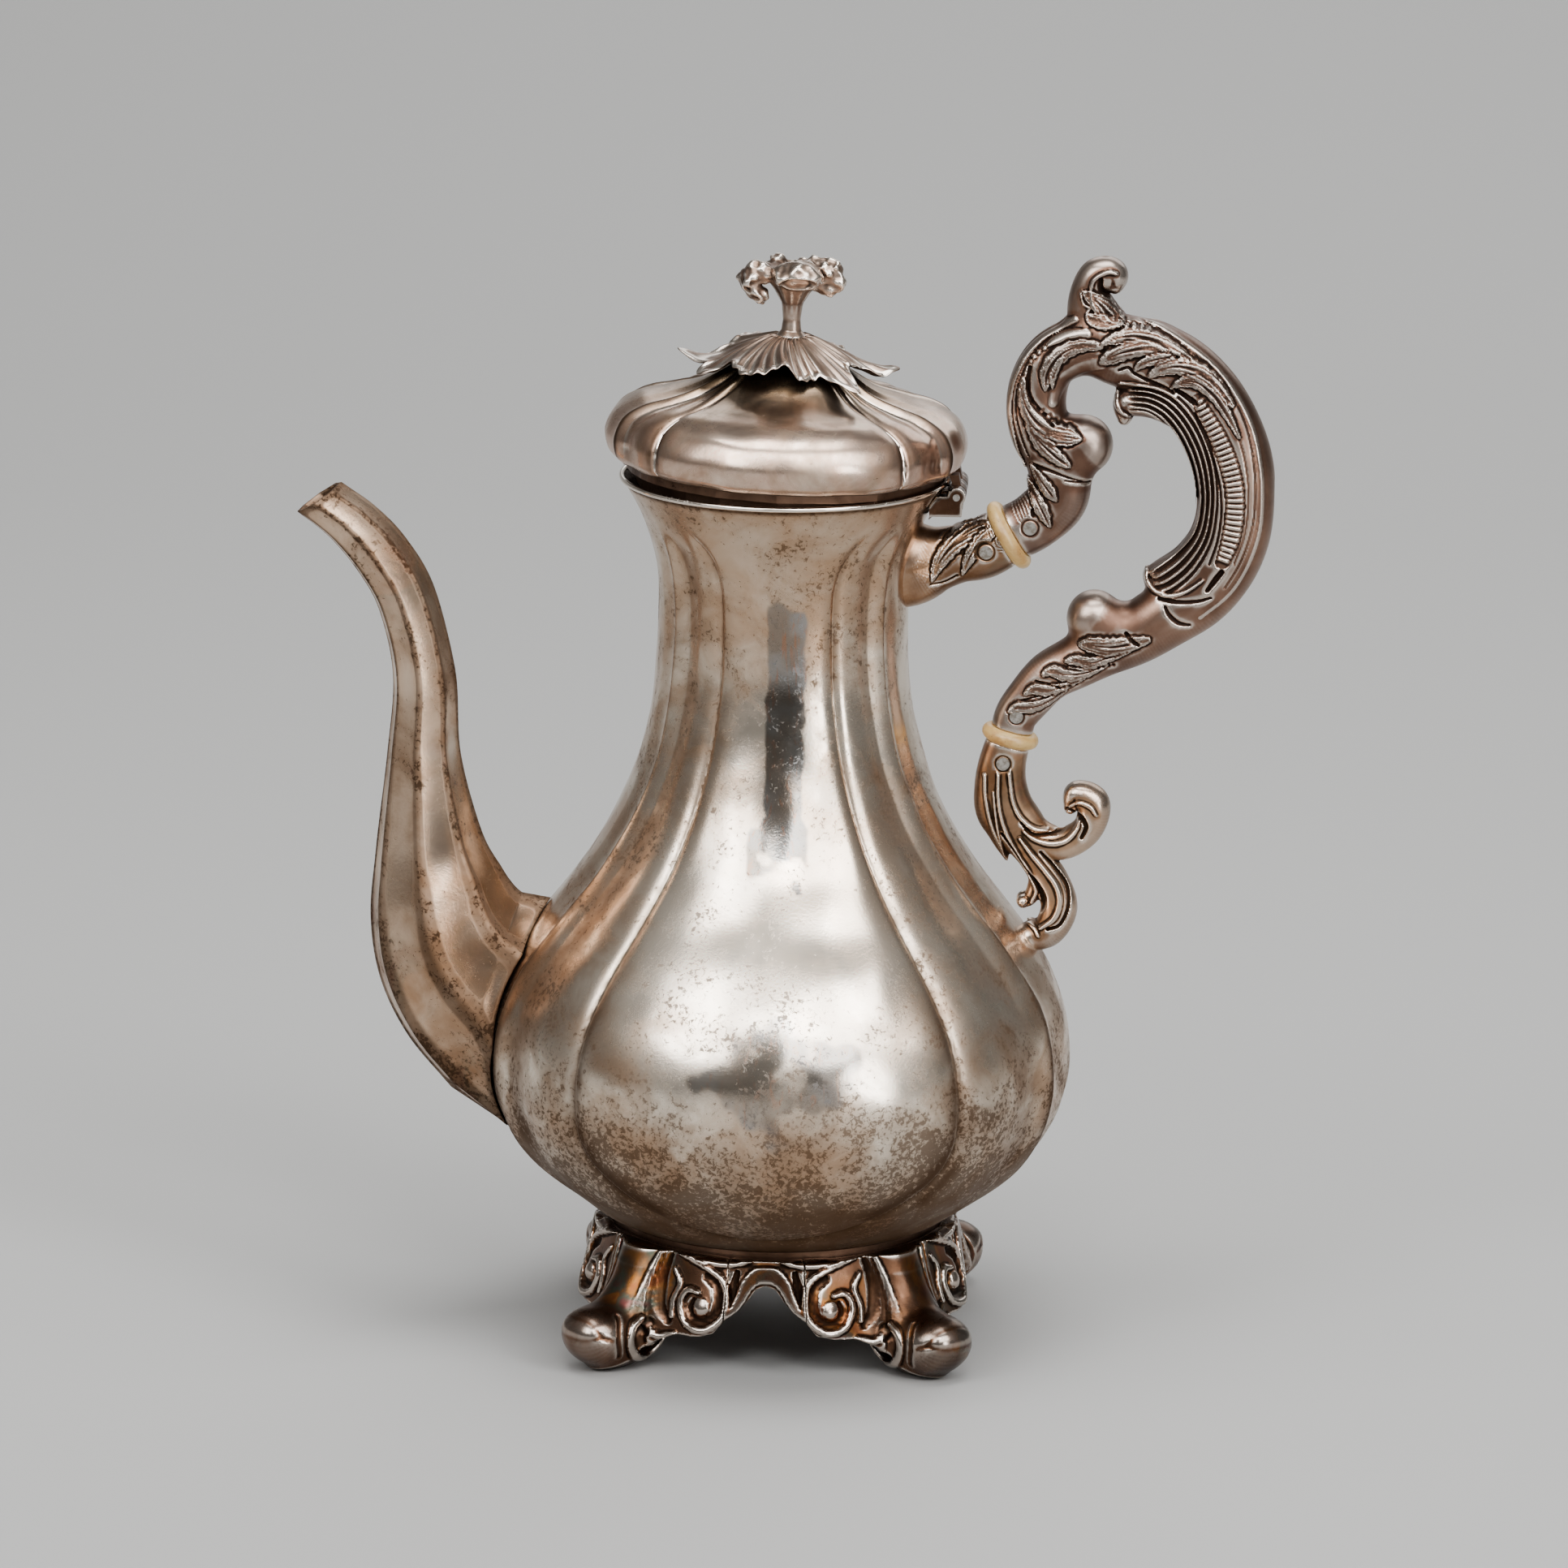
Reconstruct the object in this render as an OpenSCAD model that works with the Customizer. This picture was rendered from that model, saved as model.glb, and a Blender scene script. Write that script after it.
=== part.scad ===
// Silver coffee pot in the rococo-revival taste: a lobed pear body on four cast scroll feet,
// a faceted swan-neck spout, a hinged lobed lid with a leaf-and-blossom finial, and a cast
// leafy double-scroll handle held between two insulating rings.
// Z is up and z = 0 is the table. The spout points to -X, the handle to +X, the front to -Y.

/* [Body] */
// Height of the body's foot edge above the table
seat_z = 28.4; // [22:0.1:36]
// Radius of the body's foot edge
seat_r = 37.9; // [32:0.1:44]
// Height of the widest part of the belly
belly_z = 66; // [56:0.5:76]
// Radius of the belly over the lobes
belly_r = 66.9; // [58:0.1:76]
// Height of the narrowest part of the neck
neck_z = 168; // [155:0.5:178]
// Radius of the neck over the lobes
neck_r = 28.4; // [25:0.1:33]
// Height of the mouth's edge
mouth_z = 200; // [190:0.5:215]
// Radius of the mouth's edge
mouth_r = 37; // [34:0.1:42]
// Thickness of the raised silver sheet
body_wall = 1.1; // [0.8:0.1:2]

/* [Lobes] */
// Half angle of the front and back lobes at the belly
front_lobe_belly = 42.6; // [36:0.1:48]
// Half angle of the front and back lobes at the neck
front_lobe_neck = 27; // [22:0.1:34]
// Angle of the hollow beside each side lobe at the belly
side_hollow_belly = 64; // [58:0.1:70]
// Angle of the hollow beside each side lobe at the neck
side_hollow_neck = 45; // [42:0.1:52]
// Depth of the grooves between the lobes at the belly
groove_depth = 1.9; // [0.8:0.1:2.6]
// Half width of the grooves, in degrees
groove_w = 7; // [4:0.5:8]

/* [Spout] */
// Distance of the spout's lip from the pot's axis
lip_reach = 110.8; // [100:0.1:125]
// Height of the lip's lower corner below the mouth
lip_drop = 10.6; // [4:0.1:20]
// Half width of the spout across its lip
lip_half_w = 6.2; // [4.5:0.1:8]
// Half width of the spout where it leaves the belly
root_half_w = 19; // [14:0.1:24]
// Thickness of the spout's sheet
spout_wall = 1; // [0.7:0.1:1.5]
// Diameter of each strainer hole in the body behind the spout
strainer_hole_d = 3; // [2:0.1:4]

/* [Lid] */
// Radius of the lid over its lobes
lid_r = 41; // [38:0.1:46]
// Height of the lid from its lower edge to the top of its dome
lid_h = 27.5; // [22:0.1:34]
// Gap under the lid's lower edge, where the bezel shows
lid_gap = 2.5; // [1.5:0.1:4]
// Thickness of the lid's sheet
lid_wall = 1.1; // [0.8:0.1:1.8]
// How far the lid stands open where its old hinge lets it rest, in degrees
lid_lift = 1.8; // [0:0.2:3]
// Depth of the bezel inside the mouth
bezel_h = 3; // [2:0.1:4.5]

/* [Hinge] */
// Outer diameter of the hinge knuckles
knuckle_d = 4.2; // [3.8:0.1:5]
// Diameter of the hinge pin
hinge_pin_d = 1.6; // [1.2:0.1:2]
// Length of the whole hinge
hinge_l = 20; // [14:0.5:26]
// Running clearance round the hinge pin
hinge_fit = 0.05; // [0.02:0.01:0.09]

/* [Finial] */
// Reach of the leaf mount from its centre
leaf_r = 24; // [18:0.5:28]
// Height of the blossom and its stem above the leaf
blossom_h = 18; // [14:0.1:24]
// Reach of the blossom's petals from its centre
blossom_r = 12; // [9:0.1:15]
// Diameter of the stud that holds the finial
stud_d = 3; // [2.4:0.1:3.6]

/* [Handle] */
// Distance from the pot's axis to the middle of the upper insulating ring
upper_ring_x = 50.9; // [48:0.1:56]
// Height of the middle of the upper insulating ring below the mouth
upper_ring_drop = 12.3; // [9:0.1:16]
// Slope of the upper ring's axis, in degrees
upper_ring_tilt = 30.5; // [20:0.5:40]
// Diameter of the upper insulating ring
upper_ring_d = 16.9; // [15:0.1:19]
// Distance from the upper ring down to the lower one
ring_span = 46.6; // [42:0.1:52]
// Slope of the lower ring's axis, in degrees
lower_ring_tilt = 75.5; // [65:0.5:90]
// Diameter of the lower insulating ring
lower_ring_d = 13.2; // [12:0.1:15]
// Thickness of the insulating rings
ring_t = 3.4; // [2.5:0.1:4.5]
// Height of the thumb scroll above the upper ring
thumb_h = 63.9; // [58:0.1:70]
// Reach of the big scroll beyond the upper ring
scroll_reach = 51.2; // [46:0.1:60]
// Half thickness of the big scroll, front to back
scroll_half_t = 7; // [5:0.1:9]
// Diameter of the tenons of the insulating rings
tenon_d = 6; // [5:0.1:7]
// Diameter of the cross pins
cross_pin_d = 3; // [2.4:0.1:3.4]

/* [Foot] */
// How far the collar stands out beyond the body's foot edge
collar_step = 0.3; // [0.1:0.1:2]
// Distance from the pot's axis to the tips of the toes
toe_reach = 62; // [56:0.1:70]
// Half angle that each cast foot takes of the skirt, in degrees
foot_half_angle = 33; // [28:0.5:38]
// Thickness of the cast skirt
skirt_t = 2.2; // [1.6:0.1:3]
// Height of the arch between two feet
arch_z = 21.5; // [16:0.1:24]

/* [Hidden] */
$fn = 64;

// Colours of the tarnished silver and of the insulators.
silver = [0.67, 0.61, 0.56];
cast_silver = [0.49, 0.40, 0.36];
dark_silver = [0.40, 0.32, 0.26];
steel = [0.55, 0.54, 0.53];
ivory = [0.92, 0.82, 0.60];

collar_r = seat_r + collar_step;
touch = 0.1;       // gap between a casting and the round piece that it wraps
slip = 0.05;       // clearance of a fixed pin or tenon in its bore

// ---------- curves ----------

function lerp(a, b, t) = a + (b - a) * t;
function ease(t) = let (u = min(max(t, 0), 1)) u * u * (3 - 2 * u);
function bezier(p, t) =
    pow(1 - t, 3) * p[0] + 3 * pow(1 - t, 2) * t * p[1] + 3 * (1 - t) * t * t * p[2] + t * t * t * p[3];
// Curve through all the points of p, as [steps] samples for each span.
function spline(p, steps) = let (last = len(p) - 1) [
    for (i = [0:last - 1]) for (j = [0:steps - 1])
        let (a = p[max(i - 1, 0)], b = p[i], c = p[i + 1], d = p[min(i + 2, last)], t = j / steps)
            b + 0.5 * ((c - a) * t + (2 * a - 5 * b + 4 * c - d) * t * t
                       + (3 * b - a - 3 * c + d) * t * t * t),
    p[last]];
// Value at x of the straight-line graph through the [x, y] points of table.
function graph(table, x) = let (last = len(table) - 1,
    i = max([0, for (k = [0:last - 1]) if (x >= table[k][0]) k]),
    t = (x - table[i][0]) / (table[i + 1][0] - table[i][0]))
    lerp(table[i][1], table[i + 1][1], min(max(t, 0), 1));

function reversed(list) = [for (k = [len(list) - 1:-1:0]) list[k]];

// ---------- solids from rings of points ----------

// Solid between rings that all have as many points; loop joins the last ring to the first.
module skin(rings, loop = false) {
    n = len(rings[0]);
    m = len(rings);
    sides = [for (k = [0:m - (loop ? 1 : 2)]) for (i = [0:n - 1])
        let (a = k * n, b = ((k + 1) % m) * n, j = (i + 1) % n) each [
            [a + i, a + j, b + j], [a + i, b + j, b + i]]];
    caps = loop ? [] : [[for (i = [n - 1:-1:0]) i], [for (i = [0:n - 1]) (m - 1) * n + i]];
    polyhedron(points = [for (r = rings) each r], faces = concat(sides, caps), convexity = 8);
}

// One casting: its members are merged into one mesh before anything is bored in it.
module casting() {
    resize([0, 0, 0]) union() children();
}

// Rings across a path in the XZ plane. A station is [x, z, half width in the plane, half depth in Y].
function sweep_rings(stations, steps, sides) = let (s = spline(stations, steps), last = len(s) - 1) [
    for (k = [0:last])
        let (
            ahead = k == 0 ? stations[1] : s[min(k + 1, last)],
            behind = k == last ? stations[len(stations) - 2] : s[max(k - 1, 0)],
            d = [ahead[0] - behind[0], ahead[1] - behind[1]] / norm([ahead[0] - behind[0], ahead[1] - behind[1]]))
        [for (i = [0:sides - 1]) let (c = cos(360 * i / sides) * s[k][2])
            [s[k][0] - d[1] * c, sin(360 * i / sides) * s[k][3], s[k][1] + d[0] * c]]];
module sweep(stations, steps = 3, sides = 12) {
    skin(sweep_rings(stations, steps, sides));
}

// ---------- the lobed body ----------

bottom_curve = [[seat_r, seat_z], [belly_r - 3, seat_z + 12], [belly_r, belly_z - 8], [belly_r, belly_z]];
shoulder_curve = [[belly_r, belly_z], [belly_r, belly_z + 36.5], [neck_r, neck_z - 64], [neck_r, neck_z]];
mouth_curve = [[neck_r, neck_z], [neck_r, neck_z + 12.5], [mouth_r - 8, mouth_z - 12.5],
               [mouth_r, mouth_z]];
body_profile = concat(
    [for (k = [0:6]) bezier(bottom_curve, k / 7)],
    [for (k = [0:11]) bezier(shoulder_curve, k / 12)],
    [for (k = [0:6]) bezier(mouth_curve, k / 6)]);
body_heights = [for (p = body_profile) [p[1], p[0]]];
function body_r(z) = graph(body_heights, z);
// Distance from the axis plane to the body's skin, at y to the side and at height z.
function body_x(y, z) = sqrt(pow(body_r(z) + touch, 2) - y * y);

side_edge = 9.5;       // degrees from a side hollow to the crest of the side lobe
lobe_flare = 11;       // degrees that the front lobe widens under the mouth
lobe_top = mouth_z - 8;
lobe_foot = seat_z + 5;

function up_neck(z) = ease((z - belly_z) / (neck_z - belly_z));
function front_angle(z) = let (
        base = lerp(front_lobe_belly, front_lobe_neck, up_neck(z)),
        top = max((z - neck_z - 8) / (lobe_top - neck_z - 8), 0),
        low = max((belly_z - 6 - z) / (belly_z - 6 - lobe_foot), 0))
    (base + lobe_flare * top * top) * sqrt(max(1 - low * low, 0.12));
function hollow_angle(z) = lerp(side_hollow_belly, side_hollow_neck, up_neck(z));
function lobe_strength(z) = min(ease((lobe_top - z) / 10), ease((z - lobe_foot + 3) / 8));

// V of unit depth, w degrees to each side of nought.
function dip(angle, w) = pow(max(1 - abs(angle) / w, 0), 1.6);
// Angles of one quadrant, closer together at its grooves, from the front lobe to the side lobe.
function quadrant(a, b) = [0, a / 2, a - groove_w, a, a + groove_w, b - 5, b, b + side_edge,
    (b + side_edge + 90) / 2];
function groove_at(angle, a, b) = dip(angle - a, groove_w) + dip(angle - b, angle < b ? 6 : side_edge);
// Closed ring of points; depth is that of the grooves and inset moves it all inwards.
function lobed_ring(r, z, a, b, depth, inset = 0) = let (q = quadrant(a, b), n = len(q)) [
    for (k = [0:3]) for (i = [0:n - 1])
        let (
            odd = k % 2 == 1,
            angle = odd ? (i == 0 ? 90 : q[n - i]) : q[i],
            at = odd ? 90 * (k + 1) - angle : 90 * k + angle,
            rr = r - inset - depth * groove_at(angle, a, b))
        [rr * sin(at), -rr * cos(at), z]];
function body_ring(p, inset = 0) = lobed_ring(p[0], p[1], front_angle(p[1]), hollow_angle(p[1]),
    groove_depth * (0.35 + 0.65 * p[0] / belly_r) * lobe_strength(p[1]), inset);

module body_shell() {
    outer = [for (p = body_profile) body_ring(p)];
    n = len(body_profile);
    inner = [for (k = [n - 1, for (i = [n - 3:-2:2]) i, 0]) body_ring(body_profile[k], body_wall)];
    color(silver) casting() difference() {
        skin(reversed(concat(outer, inner)), loop = true);
        strainer_holes();
    }
}

// Hexagonal patch of holes pierced in the body where the spout covers it.
strainer_z = belly_z + 8;
strainer_pitch = strainer_hole_d * 1.8;
strainer_rows = 2;     // rows above and below the middle one
module strainer_holes() {
    for (row = [-strainer_rows:strainer_rows])
        let (holes = 2 * strainer_rows + 1 - abs(row))
            for (k = [0:holes - 1])
                translate([-belly_r * 0.8, (k - (holes - 1) / 2) * strainer_pitch,
                           strainer_z + row * strainer_pitch * 0.87])
                    rotate([0, -90, 0]) cylinder(h = belly_r * 0.5, d = strainer_hole_d, $fn = 6);
}

disc_t = 1.4;
module bottom_disc() {
    color(dark_silver) translate([0, 0, seat_z - disc_t]) cylinder(h = disc_t, r = seat_r);
}

// Half-round wire that strengthens the mouth; the hinge bracket interrupts it.
wire_r = 0.9;
module mouth_wire() {
    low = mouth_z - 2 * wire_r;
    steps = 8;
    color(silver) difference() {
        rotate_extrude() polygon(concat(
            [for (k = [steps:-1:0]) let (z = low + 2 * wire_r * k / steps) [body_r(z) + touch, z]],
            [for (k = [1:steps]) let (a = 180 * k / steps - 90)
                [lerp(body_r(low), mouth_r, k / steps) + touch + wire_r * cos(a) + 0.02,
                 mouth_z - wire_r + wire_r * sin(a)]]));
        translate([mouth_r * 0.8, -bracket_half_l - touch, mouth_z - 10])
            cube([mouth_r, 2 * (bracket_half_l + touch), 20]);
    }
}

// ---------- spout ----------

// Outer (away from the pot) and inner edges of the spout in the XZ plane, from the lip towards
// the root, with the half width there. The lip follows lip_reach and the mouth, the root the belly.
lip_z = mouth_z - lip_drop;
function width_at(share) = lerp(lip_half_w, root_half_w, share);
spout_stations = [
    [[-lip_reach, lip_z], [-lip_reach + 10.3, lip_z + 7.2], width_at(0)],
    [[-lip_reach + 7.6, lip_z - 6.2], [-lip_reach + 17.8, lip_z + 2.2], width_at(0.02)],
    [[-lip_reach + 14.2, lip_z - 14.4], [-lip_reach + 25, lip_z - 5.2], width_at(0.05)],
    [[-lip_reach + 18.8, lip_z - 23.2], [-lip_reach + 31.7, lip_z - 17], width_at(0.07)],
    [[-lip_reach + 21.7, lip_z - 37.4], [-lip_reach + 36.5, lip_z - 36], width_at(0.1)],
    [[-belly_r - 23.5, belly_z + 68], [-belly_r - 6.1, belly_z + 68], width_at(0.18)],
    [[-belly_r - 26.1, belly_z + 45], [-belly_r - 1.2, belly_z + 50], width_at(0.36)],
    [[-belly_r - 27.3, belly_z + 29], [-belly_r + 3.6, belly_z + 41.4], width_at(0.6)],
    [[-belly_r - 25, belly_z + 14], [-belly_r + 5.6, belly_z + 38.4], width_at(0.8)],
    [[-belly_r - 18.5, belly_z + 0.5], [-belly_r + 7, belly_z + 36.8], width_at(0.93)],
    [[-belly_r - 8.5, belly_z - 11.5], [-belly_r + 8, belly_z + 36], width_at(1)]];
spout_root = [belly_z - 22.5, belly_z + 35];    // lowest and highest point of the root
// Section of the spout: angle from the outer edge and distance from the middle, as a share.
// Crests stand at the angles with share 1, and the faces between them are slightly hollow.
spout_section = [[0, 1], [17, 0.93], [34, 0.97], [58, 0.9], [84, 1], [106, 0.9], [130, 1],
                 [152, 0.93], [180, 1]];
// Points of the section as [outwards, sideways] for half sizes a and b.
function spout_loop(a, b) = let (n = len(spout_section) - 1) [
    for (k = [0:2 * n - 1]) let (sec = spout_section[k <= n ? k : 2 * n - k], side = k <= n ? -1 : 1)
        [cos(sec[0]) * sec[1] * a, sin(sec[0]) * sec[1] * b * side]];
function spout_ring(outer, inner, wide, wall) = let (
        middle = (outer + inner) / 2,
        half = norm(outer - inner) / 2,
        dir = (outer - inner) / (2 * half))
    [for (p = spout_loop(half - wall, wide - wall))
        [middle[0] + dir[0] * p[0], p[1], middle[1] + dir[1] * p[0]]];
solder = 0.35;          // gap that the solder fills between the spout and the lobed body
// Ring that lies on the body's skin; the section's outer edge is its lowest point.
function spout_root_ring(wall) = let (half = (spout_root[1] - spout_root[0]) / 2)
    [for (p = spout_loop(half - wall, root_half_w - wall))
        let (z = spout_root[0] + half - p[0]) [-body_x(p[1], z) - solder, p[1], z]];
function spout_rings(wall, steps) = let (
        outer = spline([for (s = spout_stations) s[0]], steps),
        inner = spline([for (s = spout_stations) s[1]], steps),
        wide = spline([for (s = spout_stations) [s[2], 0]], steps))
    [for (k = [0:len(outer) - 1]) spout_ring(outer[k], inner[k], wide[k][0], wall),
     spout_root_ring(wall)];

module spout() {
    bore = spout_rings(spout_wall, 2);
    n = len(bore);
    color(silver) skin(concat(spout_rings(0, 2), [for (k = [n - 1:-1:0]) bore[k]]), loop = true);
}

// ---------- lid ----------

hinge_x = mouth_r + knuckle_d / 2 + 0.15;
hinge_z = mouth_z - 1.8;
lid_z = mouth_z + lid_gap;
lid_rim_r = mouth_r + 1.3;
lid_top_r = 4.6;
lid_equator_z = lid_z + 6.4;
lid_top_z = lid_z + lid_h;

// Everything on the lid is turned with it about the hinge.
module seated() {
    translate([hinge_x, 0, hinge_z]) rotate([0, lid_lift, 0]) translate([-hinge_x, 0, -hinge_z])
        children();
}

lid_profile = let (
        rim = [[lid_rim_r, lid_z], [lid_r - 0.6, lid_z + 2.2], [lid_r, lid_equator_z],
               [lid_r - 2.2, lid_z + 11], [lid_r - 7, lid_z + 13.8], [lid_r - 13, lid_z + 15.4],
               [lid_r * 0.51, lid_z + 17.6], [lid_r * 0.38, lid_z + 20.6],
               [lid_r * 0.25, lid_z + lid_h - 3.4], [lid_top_r, lid_top_z]])
    spline(rim, 2);
lid_groove = 1.5;
rim_groove = 0.35;      // share of the groove's depth at the rim
function lid_strength(p) = min(1, ease((p[0] - lid_top_r - 3) / 9))
    * lerp(rim_groove, 1, ease((p[1] - lid_z) / 5));
function lid_ring(p, inset = 0, drop = 0) = lobed_ring(p[0], p[1] - drop, 45, 61,
    lid_groove * lid_strength(p), inset);
washer_r = 3.4;
module lid_shell() {
    n = len(lid_profile);
    hub_r = stud_d / 2 + slip;
    under = lid_top_z - lid_wall;
    outer = [for (p = lid_profile) lid_ring(p)];
    hub = [for (p = [[hub_r, lid_top_z], [hub_r, under], [washer_r + 0.4, under]])
        lobed_ring(p[0], p[1], 45, 61, 0)];
    inner = [for (k = [n - 4:-3:0]) lid_ring(lid_profile[k], lid_wall, k < 5 ? 0 : lid_wall)];
    color(cast_silver) seated() skin(reversed(concat(outer, hub, inner)), loop = true);
}

// Ring inside the lid: a plug that goes into the mouth, a step that rests over the mouth's edge
// and a flange that follows the lid's lobed wall.
module lid_bezel() {
    step_r = mouth_r - 1;
    plug_r = body_r(mouth_z - bezel_h) - body_wall - 0.5;
    plug_low = mouth_z - bezel_h;
    step_z = mouth_z + 0.3;
    flange_z = lid_z + 0.2;
    flange_t = 1.1;
    flange = lobed_ring(lid_rim_r, flange_z, 45, 61, lid_groove * rim_groove, lid_wall + touch);
    turned = [for (p = [[plug_r - 1, flange_z + flange_t], [plug_r - 1, plug_low], [plug_r, plug_low],
                        [plug_r, step_z], [step_r, step_z], [step_r, flange_z]])
        lobed_ring(p[0], p[1], 45, 61, 0)];
    color(dark_silver) seated() skin(concat(turned,
        [flange, [for (p = flange) p + [0, 0, flange_t]]]), loop = true);
}

// ---------- hinge ----------

knuckles = 5;
knuckle_l = hinge_l / knuckles;
bracket_half_l = hinge_l / 2;
knuckle_gap = 0.15;
// Knuckles number first, first + 2, ... as one row of tubes.
module knuckle_row(first) {
    for (k = [first:2:knuckles - 1])
        translate([hinge_x, -bracket_half_l + (k + 1) * knuckle_l - knuckle_gap, hinge_z])
            rotate([90, 0, 0]) cylinder(h = knuckle_l - 2 * knuckle_gap, d = knuckle_d);
}
module pin_bore() {
    translate([hinge_x, hinge_l, hinge_z]) rotate([90, 0, 0])
        cylinder(h = 2 * hinge_l, d = hinge_pin_d + 2 * hinge_fit);
}
// Upright web of one knuckle, between the points of outline in the XZ plane.
module knuckle_web(k, outline) {
    translate([0, -bracket_half_l + (k + 1) * knuckle_l - knuckle_gap, 0]) rotate([90, 0, 0])
        linear_extrude(knuckle_l - 2 * knuckle_gap) polygon(outline);
}
bracket_t = 1.2;
bracket_low = hinge_z - 9;
bracket_top = hinge_z - knuckle_d / 2 - 0.3;
// Points up the body's skin at the hinge, moved outwards by off.
function hinge_skin(off) = [for (k = [0:4]) let (z = lerp(bracket_low, bracket_top, k / 4))
    [body_r(z) + touch + off, z]];
// A plate that lies on the body under the mouth and carries every other knuckle on a web.
module hinge_bracket() {
    web = [[body_r(bracket_top) + 2 * touch, bracket_top - 2], [body_r(bracket_top) + bracket_t, bracket_low],
           [hinge_x + knuckle_d * 0.45, hinge_z - knuckle_d * 0.2], [hinge_x - knuckle_d * 0.3, hinge_z],
           [body_r(bracket_top) + 2 * touch, bracket_top]];
    color(cast_silver) difference() {
        union() {
            knuckle_row(0);
            for (k = [0:2:knuckles - 1]) knuckle_web(k, web);
            intersection() {
                rotate_extrude() polygon(concat(hinge_skin(0), reversed(hinge_skin(bracket_t))));
                translate([0, -bracket_half_l, 0]) cube([2 * mouth_r, hinge_l, mouth_z]);
            }
        }
        pin_bore();
    }
}
module hinge_pin() {
    color(steel) translate([hinge_x, bracket_half_l + 0.4, hinge_z]) rotate([90, 0, 0])
        cylinder(h = hinge_l + 0.8, d = hinge_pin_d);
}
module lid_hinge_leaf() {
    strap_low = hinge_z + hinge_pin_d / 2 + 0.4;
    strap = [[hinge_x - 0.7, strap_low], [hinge_x + 0.9, strap_low], [lid_rim_r + 1.2, lid_z - touch],
             [lid_rim_r - lid_wall, lid_z - touch]];
    color(cast_silver) difference() {
        union() {
            knuckle_row(1);
            seated() for (k = [1:2:knuckles - 1]) knuckle_web(k, strap);
        }
        pin_bore();
    }
}

// ---------- finial ----------

leaf_z = lid_top_z;
leaf_t = 1.2;
leaf_lobes = 6;
leaf_droop = 9.8;      // fall of the leaf mount from its centre to its tips
leaf_curl = 4;         // rise of the curled tips
// Reach of the leaf mount at an angle: pointed leaves with serrated edges.
function leaf_reach(a) = leaf_r * (0.86 + 0.14 * cos(leaf_lobes * a))
    * (1 + 0.03 * cos(4 * leaf_lobes * a));
// Height of the leaf mount at radius r: it follows the dome, curls up at the tips and is fluted.
function leaf_height(r, a) = let (share = max(r - lid_top_r, 0) / (leaf_r - lid_top_r))
    -leaf_droop * pow(share, 1.15) + leaf_curl * pow(share, 7)
    + 0.5 * min(share * 3, 1) * cos(3 * leaf_lobes * a);
// Ring of the leaf mount a share s of the way from its flat hub to its edge.
function leaf_ring(s, drop) = [for (k = [0:47])
    let (a = 7.5 * k, r = lerp(lid_top_r, leaf_reach(a), s))
        [r * cos(a), r * sin(a), leaf_z + leaf_t + leaf_height(r, a) - drop]];
function hub_ring(z) = [for (k = [0:47]) [(stud_d / 2 + slip) * cos(7.5 * k),
                                        (stud_d / 2 + slip) * sin(7.5 * k), z]];
module finial_leaf() {
    color(cast_silver) seated() skin(concat(
        [hub_ring(leaf_z + leaf_t)],
        [for (s = [0, 0.3, 0.6, 0.82, 1]) leaf_ring(s, 0)],
        [for (s = [1, 0.6, 0]) leaf_ring(s, leaf_t - touch)],
        [hub_ring(leaf_z + touch)]), loop = true);
}

stem_z = leaf_z + leaf_t;
petals = 5;
module finial_blossom() {
    head_z = stem_z + blossom_h * 0.62;
    color(cast_silver) seated() casting() {
        rotate_extrude($fn = 20) polygon([[0, stem_z], [4, stem_z], [2.4, stem_z + 1.6],
            [2, stem_z + blossom_h * 0.25], [2.4, stem_z + blossom_h * 0.42],
            [4.1, stem_z + blossom_h * 0.58], [6.4, stem_z + blossom_h * 0.76],
            [4, stem_z + blossom_h * 0.84], [0, stem_z + blossom_h * 0.74]]);
        for (k = [0:petals - 1]) rotate(72 * k + 18 - 90)
            sweep([[2.5, head_z, 1, 2], [5.5, head_z + 4.2, 1.3, 3.2],
                   [8.5, head_z + 5.3, 1.5, 4.4], [blossom_r - 0.8, head_z + 3.2, 1.7, 4.6],
                   [blossom_r - 1.6, head_z + 0.2, 1.5, 3.8], [blossom_r - 3.6, head_z - 1, 1, 2.6]],
                  steps = 1, sides = 8);
    }
}

stud_low = lid_top_z - 7.5;
module finial_stud() {
    color(steel) seated() translate([0, 0, stud_low]) cylinder(h = stem_z - stud_low, d = stud_d);
}
washer_t = 0.8;
module finial_washer() {
    washer_top = lid_top_z - lid_wall - slip;
    color(steel) seated() translate([0, 0, washer_top - washer_t]) difference() {
        cylinder(h = washer_t, r = washer_r);
        translate([0, 0, -1]) cylinder(h = washer_t + 2, d = stud_d + 2 * slip);
    }
}
nut_t = 2.2;
module finial_nut() {
    nut_top = lid_top_z - lid_wall - slip - washer_t;
    color(steel) seated() translate([0, 0, nut_top - nut_t]) difference() {
        cylinder(h = nut_t, r = 3.1, $fn = 6);
        translate([0, 0, -1]) cylinder(h = nut_t + 2, d = stud_d + 2 * slip);
    }
}

// ---------- insulating rings and handle ----------

upper_ring = [upper_ring_x, mouth_z - upper_ring_drop];
lower_ring = [upper_ring_x + 1.1, mouth_z - upper_ring_drop - ring_span];
upper_axis = [cos(upper_ring_tilt), sin(upper_ring_tilt)];       // towards the grip
lower_axis = [cos(lower_ring_tilt), sin(lower_ring_tilt)];       // towards the grip
// Point d beyond a ring's middle along its axis, as a station of half width a and half depth b.
function beyond(ring, axis, d, a, b) = [ring[0] + axis[0] * d, ring[1] + axis[1] * d, a, b];

tenon_l = 8;
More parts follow.
